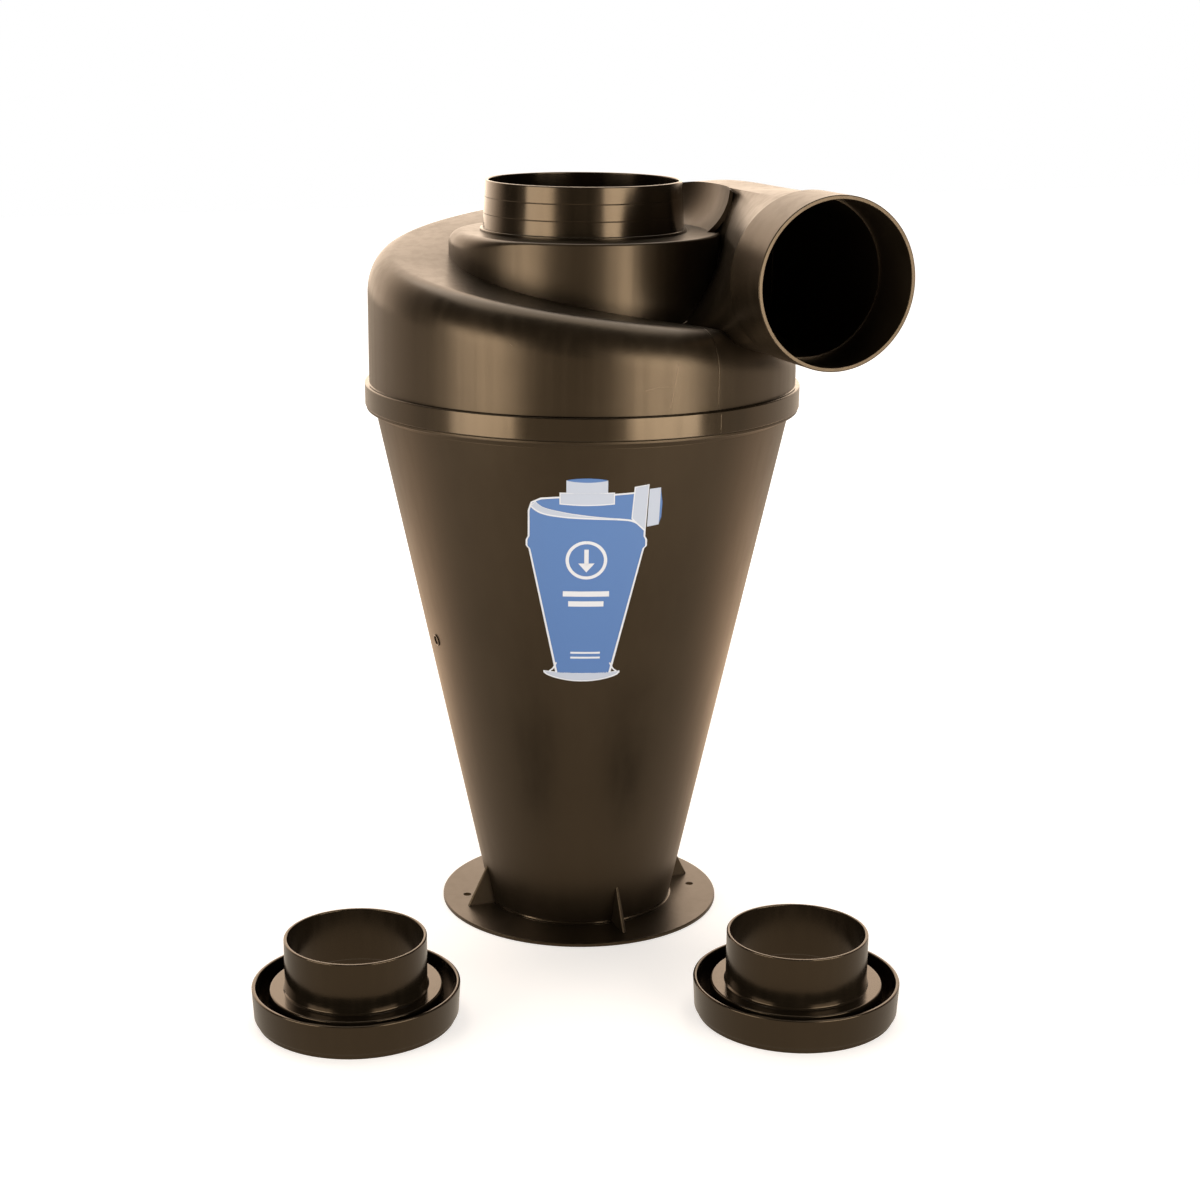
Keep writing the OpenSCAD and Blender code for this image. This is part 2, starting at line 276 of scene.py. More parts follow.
@dataclass(frozen=True)
class PrintedVinyl:
    """Smooth printed vinyl with a slight shift of colour up the label."""

    name: str
    low: Colour
    high: Colour
    roughness: float = 0.42

    def build(self) -> bpy.types.Material:
        """Makes the material: the colour runs from low to high with height, with a faint dot noise."""
        g = Graph(self.name)
        height = g.add("ShaderNodeSeparateXYZ", {}, {0: g.position()}, out="Z")
        share = height.ramp(0.23, 0.37) + (g.noise(g.position(), 900.0, 1.0) - 0.5) * 0.2
        g.feed("Base Color", g.blend(share, self.low, self.high))
        g.feed("Roughness", g.noise(g.position(), 60.0, 2.0) * 0.1 + (self.roughness - 0.05))
        g.feed("Normal", g.bump(0.05, 0.0002, g.noise(g.position(), 400.0)))
        return g.material


# --- surfaces ---


def mix(a: Array | float, b: Array | float, share: Array | float) -> Array | float:
    """The value a share of the way from a to b."""
    return a + (b - a) * share


def ease(share: Array | float) -> Array | float:
    """A share from 0 to 1 with soft ends: 3 s^2 - 2 s^3."""
    s = np.clip(share, 0.0, 1.0)
    return s * s * (3 - 2 * s)


def cylindrical(turn: Array, radius: Array, height: Array) -> Array:
    """Points at a turn in degrees, a radius and a height, in millimetres."""
    t = np.radians(turn)
    return np.stack(np.broadcast_arrays(radius * np.cos(t), radius * np.sin(t), height), axis=-1)


def rounded(corners: Corners, steps: int = 7, support: float = 0.35) -> Array:
    """A closed outline with rounded corners.

    Args:
        corners: (radius from the axis, height, corner radius) of each corner, in order.
        steps: points on each rounded corner.
        support: distance of the extra points that keep the straight runs flat.

    Returns:
        Points (n, 2). Each corner becomes the arc that touches both its sides: from the corner p with
        unit directions a and b to its neighbours, the arc starts d = r / tan(half the angle) along a,
        ends d along b, and its centre lies r / sin(half the angle) along the bisector.
    """
    c = np.array(corners, float)
    p, r = c[:, :2], c[:, 2]
    to_last, to_next = np.roll(p, 1, 0) - p, np.roll(p, -1, 0) - p
    reach = np.minimum(np.linalg.norm(to_last, axis=1), np.linalg.norm(to_next, axis=1)) * 0.45
    a = to_last / np.linalg.norm(to_last, axis=1, keepdims=True)
    b = to_next / np.linalg.norm(to_next, axis=1, keepdims=True)
    half = np.arccos(np.clip((a * b).sum(1), -1, 1)) / 2
    r = np.minimum(np.maximum(r, 0.02), reach * np.tan(half))
    d = r / np.tan(half)
    middle = a + b
    middle /= np.maximum(np.linalg.norm(middle, axis=1, keepdims=True), 1e-9)
    centre = p + middle * (r / np.sin(half))[:, None]
    s = np.linspace(0.0, 1.0, steps)[None, :, None]
    start, end = (p + a * d[:, None] - centre)[:, None, :], (p + b * d[:, None] - centre)[:, None, :]
    sweep = (math.pi - 2 * half)[:, None, None]
    arc = (np.sin((1 - s) * sweep) * start + np.sin(s * sweep) * end) / np.sin(sweep) + centre[:, None, :]
    extra = np.minimum(support, reach * 0.4)[:, None]
    before = p + a * (d[:, None] + extra)
    after = p + b * (d[:, None] + extra)
    return np.concatenate([before[:, None, :], arc, after[:, None, :]], axis=1).reshape(-1, 2)


def revolve(outline: Array, segments: int = 288) -> tuple[Array, Array]:
    """Turns a closed outline of (radius, height) once round the Z axis.

    Args:
        outline: points (n, 2).
        segments: steps round the axis.

    Returns:
        Points (segments * n, 3) and quads. Both ways round the surface closes on itself.
    """
    turn = np.arange(segments) * 360.0 / segments
    points = cylindrical(turn[:, None], outline[None, :, 0], outline[None, :, 1])
    return points.reshape(-1, 3), grid_faces(segments, len(outline), True, True)


def grid_faces(rows: int, columns: int, wrap_rows: bool, wrap_columns: bool) -> Array:
    """Quads over a grid of points numbered row by row.

    Args:
        rows: number of rows.
        columns: number of columns.
        wrap_rows: whether the last row joins the first.
        wrap_columns: whether the last column joins the first.

    Returns:
        Faces (k, 4).
    """
    i = np.arange(rows if wrap_rows else rows - 1)[:, None]
    j = np.arange(columns if wrap_columns else columns - 1)[None, :]
    h, k = (i + 1) % rows, (j + 1) % columns
    i, h, j, k = np.broadcast_arrays(i, h, j, k)
    corners = [i * columns + j, h * columns + j, h * columns + k, i * columns + k]
    return np.stack(corners, axis=-1).reshape(-1, 4)


def shell(
    outer: Array, inner: Array, wrap_rows: bool = False, wrap_columns: bool = False
) -> tuple[Array, Array]:
    """A thin wall between two matching grids of points, closed round its free edges.

    Args:
        outer: points (rows, columns, 3) of the outside.
        inner: points of the inside, in the same order.
        wrap_rows: whether the last row joins the first.
        wrap_columns: whether the last column joins the first.

    Returns:
        Points and quads: the outside, the inside turned over, and a strip along each free edge.
    """
    rows, columns = outer.shape[:2]
    n = rows * columns
    number = np.arange(n).reshape(rows, columns)
    outside = grid_faces(rows, columns, wrap_rows, wrap_columns)
    faces = [outside, (outside + n)[:, ::-1]]
    edges = []
    if not wrap_rows:
        edges += [(number[0], wrap_columns, False), (number[-1], wrap_columns, True)]
    if not wrap_columns:
        edges += [(number[:, 0], wrap_rows, True), (number[:, -1], wrap_rows, False)]
    for line, wraps, turned in edges:
        a = line if wraps else line[:-1]
        b = np.roll(line, -1) if wraps else line[1:]
        strip = np.stack([a, b, b + n, a + n], axis=-1)
        faces.append(strip[:, ::-1] if turned else strip)
    points = np.concatenate([outer.reshape(-1, 3), inner.reshape(-1, 3)])
    return points, np.concatenate(faces)


def capped(grid: Array, ends: Array) -> tuple[Array, list]:
    """A tube closed at both ends by a fan of triangles round one point.

    Args:
        grid: points (rows, columns, 3); each row runs once round the tube.
        ends: the points (2, 3) at the middle of the first and of the last row.

    Returns:
        Points and faces.
    """
    rows, columns = grid.shape[:2]
    n = rows * columns
    j = np.arange(columns)
    k = (j + 1) % columns
    last = n - columns
    first_fan, last_fan = np.stack([0 * j + n, k, j], -1), np.stack([0 * j + n + 1, last + j, last + k], -1)
    faces = grid_faces(rows, columns, False, True).tolist() + first_fan.tolist() + last_fan.tolist()
    return np.concatenate([grid.reshape(-1, 3), ends]), faces


def turned(points: Array, turn: float) -> Array:
    """Points turned about the Z axis by an angle in degrees."""
    c, s = math.cos(math.radians(turn)), math.sin(math.radians(turn))
    return points @ np.array([[c, s, 0], [-s, c, 0], [0, 0, 1]])


def rod(path: Array, radius: float, sides: int = 10) -> tuple[Array, Array]:
    """A thin round rod along a path, with its ends drawn to a point.

    Args:
        path: points (n, 3).
        radius: the rod's radius.
        sides: points round it.

    Returns:
        Points and faces. Each ring stands square to the path, on the cross products of the path's
        direction with the outward direction from the Z axis.
    """
    along = np.gradient(path, axis=0)
    along /= np.linalg.norm(along, axis=1, keepdims=True)
    out = path * np.array([1.0, 1.0, 0.0])
    side = np.cross(along, out)
    side /= np.linalg.norm(side, axis=1, keepdims=True)
    out = np.cross(side, along)
    turn = np.linspace(0.0, TAU, sides, endpoint=False)[None, :, None]
    thin = radius * np.clip(np.sin(np.linspace(0.0, math.pi, len(path))) * 6, 0.02, 1.0)[:, None, None]
    rings = path[:, None, :] + thin * (np.cos(turn) * out[:, None, :] + np.sin(turn) * side[:, None, :])
    faces = grid_faces(len(path), sides, False, True).tolist()
    last = (len(path) - 1) * sides
    return rings.reshape(-1, 3), faces + [list(range(sides))[::-1], list(range(last, last + sides))]


@dataclass
class Maker:
    """Makes finished pieces and hangs them on their bodies."""

    finishes: dict[str, bpy.types.Material] = field(default_factory=dict)

    def material(self, finish: MouldedPlastic | PrintedVinyl) -> bpy.types.Material:
        """The material of a finish, made once."""
        if finish.name not in self.finishes:
            self.finishes[finish.name] = finish.build()
        return self.finishes[finish.name]

    def mesh(self, name: str, points: Array, faces: Array | list) -> bpy.types.Object:
        """Makes a mesh object from points in millimetres.

        Args:
            name: the object's name.
            points: points (n, 3) in millimetres.
            faces: point numbers of each face.

        Returns:
            The object, linked to the scene, at the origin.
        """
        data = bpy.data.meshes.new(name)
        faces = faces.tolist() if isinstance(faces, np.ndarray) else faces
        data.from_pydata((points * MM).tolist(), [], faces)
        data.validate()
        data.shade_smooth()
        piece = bpy.data.objects.new(name, data)
        bpy.context.scene.collection.objects.link(piece)
        return piece

    def book(
        self,
        piece: bpy.types.Object,
        finish: MouldedPlastic | PrintedVinyl,
        body: str,
        slot: Slot,
        stands_for: Sequence[str] = (),
    ) -> bpy.types.Object:
        """Dresses a piece, hangs it on its body and hides the CAD nodes that it stands for.

        Args:
            piece: the mesh object.
            finish: its finish.
            body: the body that it moves with.
            slot: not used.
            stands_for: CAD nodes that it is shown in place of.

        Returns:
            The same piece.
        """
        piece.data.materials.clear()
        piece.data.materials.append(self.material(finish))
        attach(piece, body)
        if stands_for:
            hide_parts(*stands_for)
        log.info("%s: %d faces, rides on %s", piece.name, len(piece.data.polygons), body)
        return piece

    def turn_out(self, piece: bpy.types.Object) -> bpy.types.Object:
        """Points a closed mesh's faces outwards: a signed volume below zero means that they point in."""
        data = piece.data
        data.calc_loop_triangles()
        triangles = np.empty(len(data.loop_triangles) * 3, np.int32)
        data.loop_triangles.foreach_get("vertices", triangles)
        points = np.empty(len(data.vertices) * 3, np.float32)
        data.vertices.foreach_get("co", points)
        a, b, c = points.reshape(-1, 3)[triangles.reshape(-1, 3)].astype(float).transpose(1, 0, 2)
        if np.einsum("ij,ij->", a, np.cross(b, c)) < 0:
            data.flip_normals()
        return piece

    def cut(self, piece: bpy.types.Object, *tools: bpy.types.Object, keep: bool = False) -> bpy.types.Object:
        """Cuts solids out of a piece, then smooths it except at its creases.

        Args:
            piece: the piece to cut.
            tools: closed solids, which are used up.
            keep: whether to keep what lies inside the solids instead of what lies outside.

        Returns:
            The piece with its new mesh.
        """
        for tool in tools:
            step = piece.modifiers.new("cut", "BOOLEAN")
            step.operation, step.object, step.solver = "INTERSECT" if keep else "DIFFERENCE", tool, "MANIFOLD"
        data = bpy.data.meshes.new_from_object(piece.evaluated_get(bpy.context.evaluated_depsgraph_get()))
        piece.modifiers.clear()
        old, piece.data = piece.data, data
        bpy.data.meshes.remove(old)
        for tool in tools:
            bpy.data.meshes.remove(tool.data)
        data.shade_smooth()
        data.set_sharp_from_angle(angle=math.radians(CUT_CREASE))
        return piece

    def solid(
        self, name: str, points: Array, faces: Array | list, crease: float | None = None
    ) -> bpy.types.Object:
        """A closed mesh that faces outwards, sharp where it bends by more than the crease in degrees."""
        piece = self.turn_out(self.mesh(name, points, faces))
        if crease is not None:
            piece.data.set_sharp_from_angle(angle=math.radians(crease))
        return piece

    def ring(self, name: str, corners: Corners, at: Place = (0.0, 0.0, 0.0)) -> bpy.types.Object:
        """A rounded outline turned about an upright axis through at, in millimetres."""
        points, faces = revolve(rounded(corners))
        return self.solid(name, points + np.array(at), faces)


# --- finishes of this object ---

SATIN = MouldedPlastic(
    name="satin_moulding",
    tone=(0.007, 0.005, 0.003),
    worn_tone=(0.018, 0.013, 0.008),
    roughness=0.36,
    rough_spread=0.035,
    grain=0.5,
    streaks=0.10,
)
HEAD_SCRATCHES = (
    Scratch((0.00698, -0.16505, 0.46272), (0.00125, -0.1652, 0.43294), 0.00055, 0.9),
    Scratch((-0.01793, -0.16422, 0.4461), (-0.008, -0.1649, 0.4484), 0.0005, 0.45),
    Scratch((-0.008, -0.1649, 0.4484), (0.00254, -0.16518, 0.44795), 0.0005, 0.45),
    Scratch((-0.112, -0.12143, 0.48371), (-0.1052, -0.12737, 0.47715), 0.0006, 0.5),
)
HEAD_SATIN = MouldedPlastic(
    name="head_moulding",
    scratches=HEAD_SCRATCHES,
    tone=(0.007, 0.005, 0.003),
    worn_tone=(0.018, 0.013, 0.008),
    roughness=0.29,
    rough_spread=0.06,
    grain=0.35,
    streaks=0.2,
)
GLOSS = MouldedPlastic(
    name="polished_moulding",
    tone=(0.006, 0.0045, 0.0028),
    worn_tone=(0.014, 0.010, 0.006),
    roughness=0.15,
    rough_spread=0.05,
    grain=0.08,
    streaks=0.15,
)
LABEL_BLUE = PrintedVinyl("label_blue", (0.080, 0.175, 0.42), (0.090, 0.19, 0.44))
LABEL_PALE = PrintedVinyl("label_pale", (0.44, 0.50, 0.62), (0.47, 0.53, 0.65))
LABEL_WHITE = PrintedVinyl("label_white", (0.64, 0.67, 0.74), (0.67, 0.70, 0.76))


# --- lower moulding ---


@dataclass
class LowerMoulding:
    """Base flange, gussets, cone, moulding mark and rim."""

    maker: Maker
    flange_r: float = 111.75
    flange_t: float = 3.0
    outlet_r: float = 70.5
    hole_circle_r: float = 92.5
    hole_r: float = 3.25
    hole_turn: float = -14.0
    foot_r: float = 73.5
    top_r: float = 160.0
    top_z: float = 404.5
    wall: float = 3.0
    gusset_foot_r: float = 97.0
    gusset_h: float = 32.0
    gusset_t: float = 3.0
    rim_r: float = 167.4
    rim_z: float = 410.8
    rim_t: float = 2.6
    mark_z: float = 230.5
    mark_turn: float = 182.0

    def slope(self) -> float:
        """How much the cone's radius grows for each millimetre of height."""
        return (self.top_r - self.foot_r) / (self.top_z - self.flange_t)

    def flange(self) -> None:
        """The flange: a flat ring with rounded edges and two drilled holes."""
        t, bore, r = self.flange_t, self.outlet_r, self.flange_r
        piece = self.maker.ring("flange", [(bore, 0, 0.3), (r, 0, 0.6), (r, t, 0.9), (bore, t, 0.2)])
        tools = []
        for k in (0, 1):
            turn = math.radians(self.hole_turn + 180 * k)
            outline = np.array([[0.001, -2.0], [self.hole_r, -2.0], [self.hole_r, t + 2], [0.001, t + 2]])
            points, faces = revolve(outline, 48)
            at = np.array([self.hole_circle_r * math.cos(turn), self.hole_circle_r * math.sin(turn), 0.0])
            tools.append(self.maker.solid(f"drill_{k}", points + at, faces))
        self.maker.cut(piece, *tools)
        self.maker.book(piece, SATIN, "separator", Slot.BODY, ["base_flange"])

    def gusset(self, name: str, node: str, turn: float) -> None:
        """One thin triangular rib from the flange up the cone.

        Its side is a grid between the cone's line and the sloped outer edge; both faces lie half the
        thickness from the middle plane, pulled in near the free edge to round it.
        """
        rows, columns = 24, 13
        v = np.linspace(0.0, 1.0, rows)[:, None]
        u = np.linspace(0.0, 1.0, columns)[None, :]
        z = self.flange_t - 0.2 + (self.gusset_h + 0.2) * v
        near = self.foot_r + self.slope() * (z - self.flange_t) - 0.8
        far = mix(self.gusset_foot_r, self.foot_r + self.slope() * self.gusset_h + 0.4, v)
        x = mix(near, far, ease(u) * 0.3 + u * 0.7)
        half = self.gusset_t / 2 * np.sqrt(np.clip(1 - np.clip((x - far + 1.5) / 1.5, 0, 1) ** 2, 0.02, 1))
        half = half * mix(1.0, 0.75, v)
        sides = []
        for side in (-1.0, 1.0):
            sides.append(turned(np.stack(np.broadcast_arrays(x, side * half, z), axis=-1), turn))
        points, faces = shell(*sides)
        piece = self.maker.solid(name, points, faces, 50)
        self.maker.book(piece, SATIN, "separator", Slot.BODY, [node])

    def cone(self) -> None:
        """The cone's wall."""
        w = self.wall
        r = self.top_r
        piece = self.maker.ring(
            "cone",
            [
                (self.foot_r - w, self.flange_t, 0.1),
                (self.foot_r, self.flange_t, 0.1),
                (r, self.top_z, 0.3),
                (r - w, self.top_z, 0.3),
            ],
        )
        self.maker.book(piece, SATIN, "separator", Slot.BODY, ["lower_cone"])

    def foot_fillet(self) -> None:
        """The small moulded fillet where the cone runs into the flange."""
        piece = self.maker.ring(
            "cone_foot_fillet",
            [
                (self.foot_r - 0.8, self.flange_t - 0.5, 0.05),
                (self.foot_r + 1.9, self.flange_t - 0.5, 0.05),
                (self.foot_r + 1.9, self.flange_t + 0.25, 0.2),
                (self.foot_r + 0.75, self.flange_t + 0.6, 1.2),
                (self.foot_r + 0.45, self.flange_t + 1.9, 0.2),
                (self.foot_r - 0.5, self.flange_t + 1.9, 0.05),
            ],
        )
        self.maker.book(piece, GLOSS, "separator", Slot.BODY)

    def mark(self) -> None:
        """A small round moulding mark on the cone's flank."""
        z = self.mark_z
        corners = [(3.4, -0.3, 0.1), (4.8, -0.3, 0.1), (4.8, 0.85, 0.4), (3.4, 0.85, 0.4)]
        points, faces = revolve(rounded(corners), 64)
        lean = math.atan(self.slope())
        out = np.array([math.cos(lean), 0.0, -math.sin(lean)])
        up = np.array([math.sin(lean), 0.0, math.cos(lean)])
        side = np.array([0.0, 1.0, 0.0])
        local = points[:, :1] * side + points[:, 1:2] * up + points[:, 2:3] * out
        local = local + np.array([self.foot_r + self.slope() * (z - self.flange_t), 0.0, z])
        piece = self.maker.solid("moulding_mark", turned(local, self.mark_turn), faces)
        self.maker.book(piece, GLOSS, "separator", Slot.BODY, ["gate_boss"])

    def rim(self) -> None:
        """The cone's thin rim under the band, and the lip that stands inside the head."""
        r = self.top_r
        piece = self.maker.ring(
            "cone_rim",
            [
                (r - self.wall, self.top_z - 0.5, 0.1),
                (r - 0.2, self.top_z - 0.5, 0.1),
                (r + 1.2, self.rim_z - self.rim_t, 1.0),
                (self.rim_r, self.rim_z - self.rim_t, 0.7),
                (self.rim_r, self.rim_z - 0.1, 0.5),
                (161.7, self.rim_z - 0.1, 0.3),
                (161.7, self.rim_z + 14, 0.6),
                (159.5, self.rim_z + 14, 0.6),
                (159.5, self.rim_z - 1, 1.0),
            ],
        )
        self.maker.book(piece, SATIN, "separator", Slot.BODY, ["cone_rim"])

    def build(self) -> None:
        """Makes every piece of the lower moulding."""
        self.flange()
        for node, turn in (("right", 0), ("back", 90), ("left", 180), ("front", 270)):
            self.gusset(f"gusset_{node}_rib", f"gusset_{node}", turn)
        self.cone()
        self.foot_fillet()
        self.mark()
        self.rim()


# --- head ---


@dataclass
class Head:
    """Band, barrel, spiral roof, wall, deck, outlet and inlet."""

    maker: Maker
    band_r: float = 168.4
    band_z: float = 410.8
    band_h: float = 17.0
    barrel_r: float = 165.0
    wall: float = 3.0
    barrel_top_z: float = 428.5
    roof_z: float = 575.6
    fall_start: float = 17.6
    roof_fall: float = 122.6
    parting_turn: float = 284.5
    shoulder_w: float = 20.5
    shoulder_h: float = 29.5
    deck_z: float = 543.0
    deck_t: float = 2.5
    wall_r: float = 103.0
    outlet_r: float = 75.0
    outlet_foot_r: float = 77.1
    outlet_bore_r: float = 72.5
    outlet_top_z: float = 581.2
    finder_z: float = 432.0
    inlet_x: float = 104.7
    inlet_y: float = 216.2
    inlet_z: float = 522.6
    inlet_r: float = 61.8
    inlet_bore_r: float = 58.7
    inlet_len: float = 46.0
    duct_r: float = 60.3
    duct_wall: float = 2.5
    duct_end: float = 58.0
    duct_top_x: float = 104.0
    duct_low_z: float = 464.0
    bowl_x: float = 67.6
    bowl_size: float = 43.4
    bowl_top_z: float = 577.0
    deck_back_r: float = 93.5
    deck_front_r: float = 101.2
    under_r: float = 20.0
    side_x: float = 32.0
    side_w: float = 60.0
    side_z: float = 542.0
    side_h: float = 62.0
    side_bend: float = 1.2

    def roof_at(self, turn: Array) -> Array:
        """Height of the roof's outside: level beside the inlet, then an even fall, with a soft change."""
        x = turn - self.fall_start
        return self.roof_z - self.roof_fall / 360 * (x + np.sqrt(x * x + 36)) / 2

    def bowl_r(self, height: Array | float) -> Array | float:
        """Radius of the hollow wall above the deck: a quarter circle that ends upright."""
        return self.bowl_x + np.sqrt(self.bowl_size**2 - (self.bowl_top_z - height) ** 2)

    @staticmethod
    def swell(turn: Array) -> Array:
        """How far the wall swells outwards towards its end beside the inlet duct."""
        return 1.5 * ease((turn - 290) / 40)

    def deck_edge(self, turn: Array) -> Array:
        """Radius of the deck's edge at a turn in degrees."""
        back = mix(self.bowl_r(self.deck_z), self.deck_back_r, turn / 185)
        front = mix(self.deck_back_r, self.deck_front_r, ease((turn - 185) / 45)) + self.swell(turn)
        return np.where(turn < 185, back, front)

    def roof_edge(self, turn: Array) -> Array:
        """Radius of the wall where it meets the roof."""
        z = self.roof_at(turn)
        low = mix(self.bowl_r(self.deck_z), self.wall_r, ease((self.deck_z - z) / 17)) + self.swell(turn)
        return np.where(z > self.deck_z, self.bowl_r(np.maximum(z, self.deck_z)), low)

    def wall_step(self, turn: Array) -> Array:
        """Sideways step through the wall, outwards above the deck and inwards below it."""
        return self.deck_t * np.clip((self.roof_at(turn) - self.deck_z) / 4, -1, 1)

    def roof(self) -> None:
        """The spiral roof.

        Its section at each turn runs out along the top, a quarter ellipse round the shoulder and
        down to the barrel; the whole section falls as it turns.
        """
        turn = np.linspace(0.0, 359.9, 361)[:, None]
        z, edge = self.roof_at(turn), self.roof_edge(turn)
        corner = self.barrel_r - self.shoulder_w
        flat = np.linspace(0.0, 1.0, 9)[None, :-1]
        angle = np.radians(np.linspace(90.0, 0.0, 25))[None, :]
        down = np.linspace(0.0, 1.0, 9)[None, 1:]

        def skin(inset: float) -> Array:
            """One face of the roof, a distance inset under the outside."""
            w, h = self.shoulder_w - inset, self.shoulder_h - inset
            cz = z - self.shoulder_h
            first = edge + self.wall_step(turn) * (inset > 0)
            radii = [
                mix(first, corner, flat),
                corner + w * np.cos(angle) + 0 * z,
                self.barrel_r - inset + 0 * (z + down),
            ]
            heights = [z - inset + 0 * flat, cz + h * np.sin(angle), mix(cz, self.barrel_top_z - 0.3, down)]
            return cylindrical(turn, np.concatenate(radii, axis=1), np.concatenate(heights, axis=1))

        points, faces = shell(skin(0.0), skin(self.wall))
        piece = self.maker.solid("spiral_roof", points, faces, 40)
        self.maker.book(piece, HEAD_SATIN, "separator", Slot.BODY, ["helical_roof"])

    def wall_patch(self, name: str, turn: Array) -> bpy.types.Object:
        """The wall between the deck's edge and the roof's inner edge, over a column of turns.

        Where the roof lies below the deck, the wall's top is a quarter ellipse from the deck's edge
        out to the wall's own radius, and it is upright below that. Above the deck it follows the
        hollow quarter circle.
        """
        z, low, high = self.roof_at(turn), self.roof_edge(turn), self.deck_edge(turn)
        drop = np.clip(self.deck_z - z, 0.0, None)
        bend = np.clip(drop / 12, 0, 1) * np.minimum(low - high, drop)
        angle = np.radians(np.linspace(0.0, 90.0, 15))[None, :]
        down = np.linspace(0.0, 1.0, 9)[None, 1:]
        below_r = np.concatenate([mix(high, low, np.sin(angle)), low + 0 * down], axis=1)
        bent_z = self.deck_z - bend * (1 - np.cos(angle))
        below_z = np.concatenate([bent_z, mix(self.deck_z - bend, z, down)], axis=1)
        up = np.linspace(0.0, 1.0, below_r.shape[1])[None, :]
        above_z = mix(self.deck_z, np.maximum(z, self.deck_z), up)
        is_below = z < self.deck_z
        r, h = np.where(is_below, below_r, self.bowl_r(above_z)), np.where(is_below, below_z, above_z)
        outer = cylindrical(turn, r, h)
        inner = cylindrical(turn, r + self.wall_step(turn), h - self.deck_t)
        points, faces = shell(outer, inner)
        return self.maker.solid(name, points, faces)

    def pedestal(self) -> None:
        """The wall all round the outlet, up to the duct, and its end that shapes the duct's side."""
        piece = self.wall_patch("channel_wall", np.linspace(0.0, 333.0, 334)[:, None])
        self.maker.cut(piece, self.duct_tool("tool_a"))
        self.maker.book(piece, HEAD_SATIN, "separator", Slot.BODY, ["pedestal_wall"])
        piece = self.wall_patch("channel_wall_end", np.linspace(-27.0, 3.0, 41)[:, None])
        self.maker.cut(piece, self.duct_tool("tool_c"), keep=True)
        self.maker.book(piece, HEAD_SATIN, "separator", Slot.BODY)

    def deck(self) -> None:
        """The flat deck round the outlet, out to the wall and the duct's side."""
        turn = np.arange(360.0)[:, None]
        used = np.where(turn > 330, 0.0, turn)
        share = np.array([0.0, 0.04, 0.5, 0.96, 1.0])[None, :]
        top = cylindrical(turn, mix(self.outlet_r - 0.5, self.deck_edge(used), share), self.deck_z)
        edge = self.deck_edge(used) + self.wall_step(used)
        under = cylindrical(turn, mix(self.outlet_r - 0.5, edge, share), self.deck_z - self.deck_t)
        points, faces = shell(top, under, wrap_rows=True)
        piece = self.maker.solid("deck", points, faces)
        self.maker.cut(piece, self.duct_tool("tool_b"))
        self.maker.book(piece, HEAD_SATIN, "separator", Slot.BODY, ["outlet_deck"])

    def duct_outline(self, share: Array, inset: float) -> Array:
        """The duct's outline, a share of the way from round to its full shape.

        Args:
            share: column of shares, 0 at the collar and 1 at the roof.
            inset: distance to move the outline inwards.

        Returns:
            (x, z) points (rows, n, 2), clockwise from the inner top corner seen from the mouth. Each
            point of the full shape is matched with a point of the circle, and lies between the two.
        """
        corner, bottom, top = self.barrel_r - self.shoulder_w, self.roof_at(360.0), self.roof_at(0.0)
        cz = top - self.shoulder_h
        under, side, bend = self.under_r, self.side_x + self.side_w, self.side_bend
        n = 4

        def run(count: int) -> Array:
            """Even shares along one stretch, without its last point."""
            return np.arange(count * n) / (count * n)

        k6, k8, k5, k4, k9 = run(6), run(8), run(5), run(4), run(9)
        quarter8, quarter6, quarter9 = np.radians(90 * k8), np.radians(90 * k6), np.radians(90 * k9)
        x = [
            mix(self.duct_top_x, corner, k6),
            corner + self.shoulder_w * np.sin(quarter8),
            self.barrel_r + 0 * k5,
            self.barrel_r - under * (1 - np.cos(quarter6)),
            mix(self.barrel_r - under, side, k4),
            mix(side, self.side_x, k5),
            self.side_x + self.side_w * np.sin(quarter9) ** bend,
            mix(side, self.duct_top_x, k5),
        ]
        z = [
            top + 0 * k6,
            cz + self.shoulder_h * np.cos(quarter8),
            mix(cz, bottom + under, k5),
            bottom + under * (1 - np.sin(quarter6)),
            bottom + 0 * k4,
            mix(bottom, self.duct_low_z, k5),
            self.side_z - self.side_h * np.cos(quarter9) ** bend,
            mix(self.side_z, top, k5),
        ]
        a = [
            mix(111.0, 75.0, k6),
            mix(75.0, 20.0, k8),
            mix(20.0, -40.0, k5),
            mix(-40.0, -75.0, k6),
            mix(-75.0, -112.0, k4),
            mix(-112.0, -132.0, k5),
            mix(-138.0, -200.0, k9),
            mix(-200.0, -249.0, k5),
        ]
        angle = np.radians(np.concatenate(a))
        full = np.stack([np.concatenate(x), np.concatenate(z)], axis=-1)
        middle = np.array([self.inlet_x, self.inlet_z])
        circle = middle + self.duct_r * np.stack([np.cos(angle), np.sin(angle)], axis=-1)
        p = mix(circle[None], full[None], np.asarray(share, float).reshape(-1, 1, 1))
        along = np.roll(p, -1, 1) - np.roll(p, 1, 1)
        along /= np.linalg.norm(along, axis=-1, keepdims=True)
        return p + inset * np.stack([along[..., 1], -along[..., 0]], axis=-1)

    def duct_grid(self, inset: float, past: float) -> Array:
        """Points (rows, n, 3) of the duct's surface from the collar to the roof."""
        start = self.inlet_y - self.inlet_len
        end = self.duct_end
        changing, straight = np.linspace(-start, -end, 41), np.linspace(-end, 0.0, 16)[1:-1]
        y = np.concatenate([[-start - past], changing, straight, [past]])
        outline = self.duct_outline(np.clip((y + start) / (start - end), 0, 1), inset)
        return np.stack(np.broadcast_arrays(outline[..., 0], y[:, None], outline[..., 1]), axis=-1)

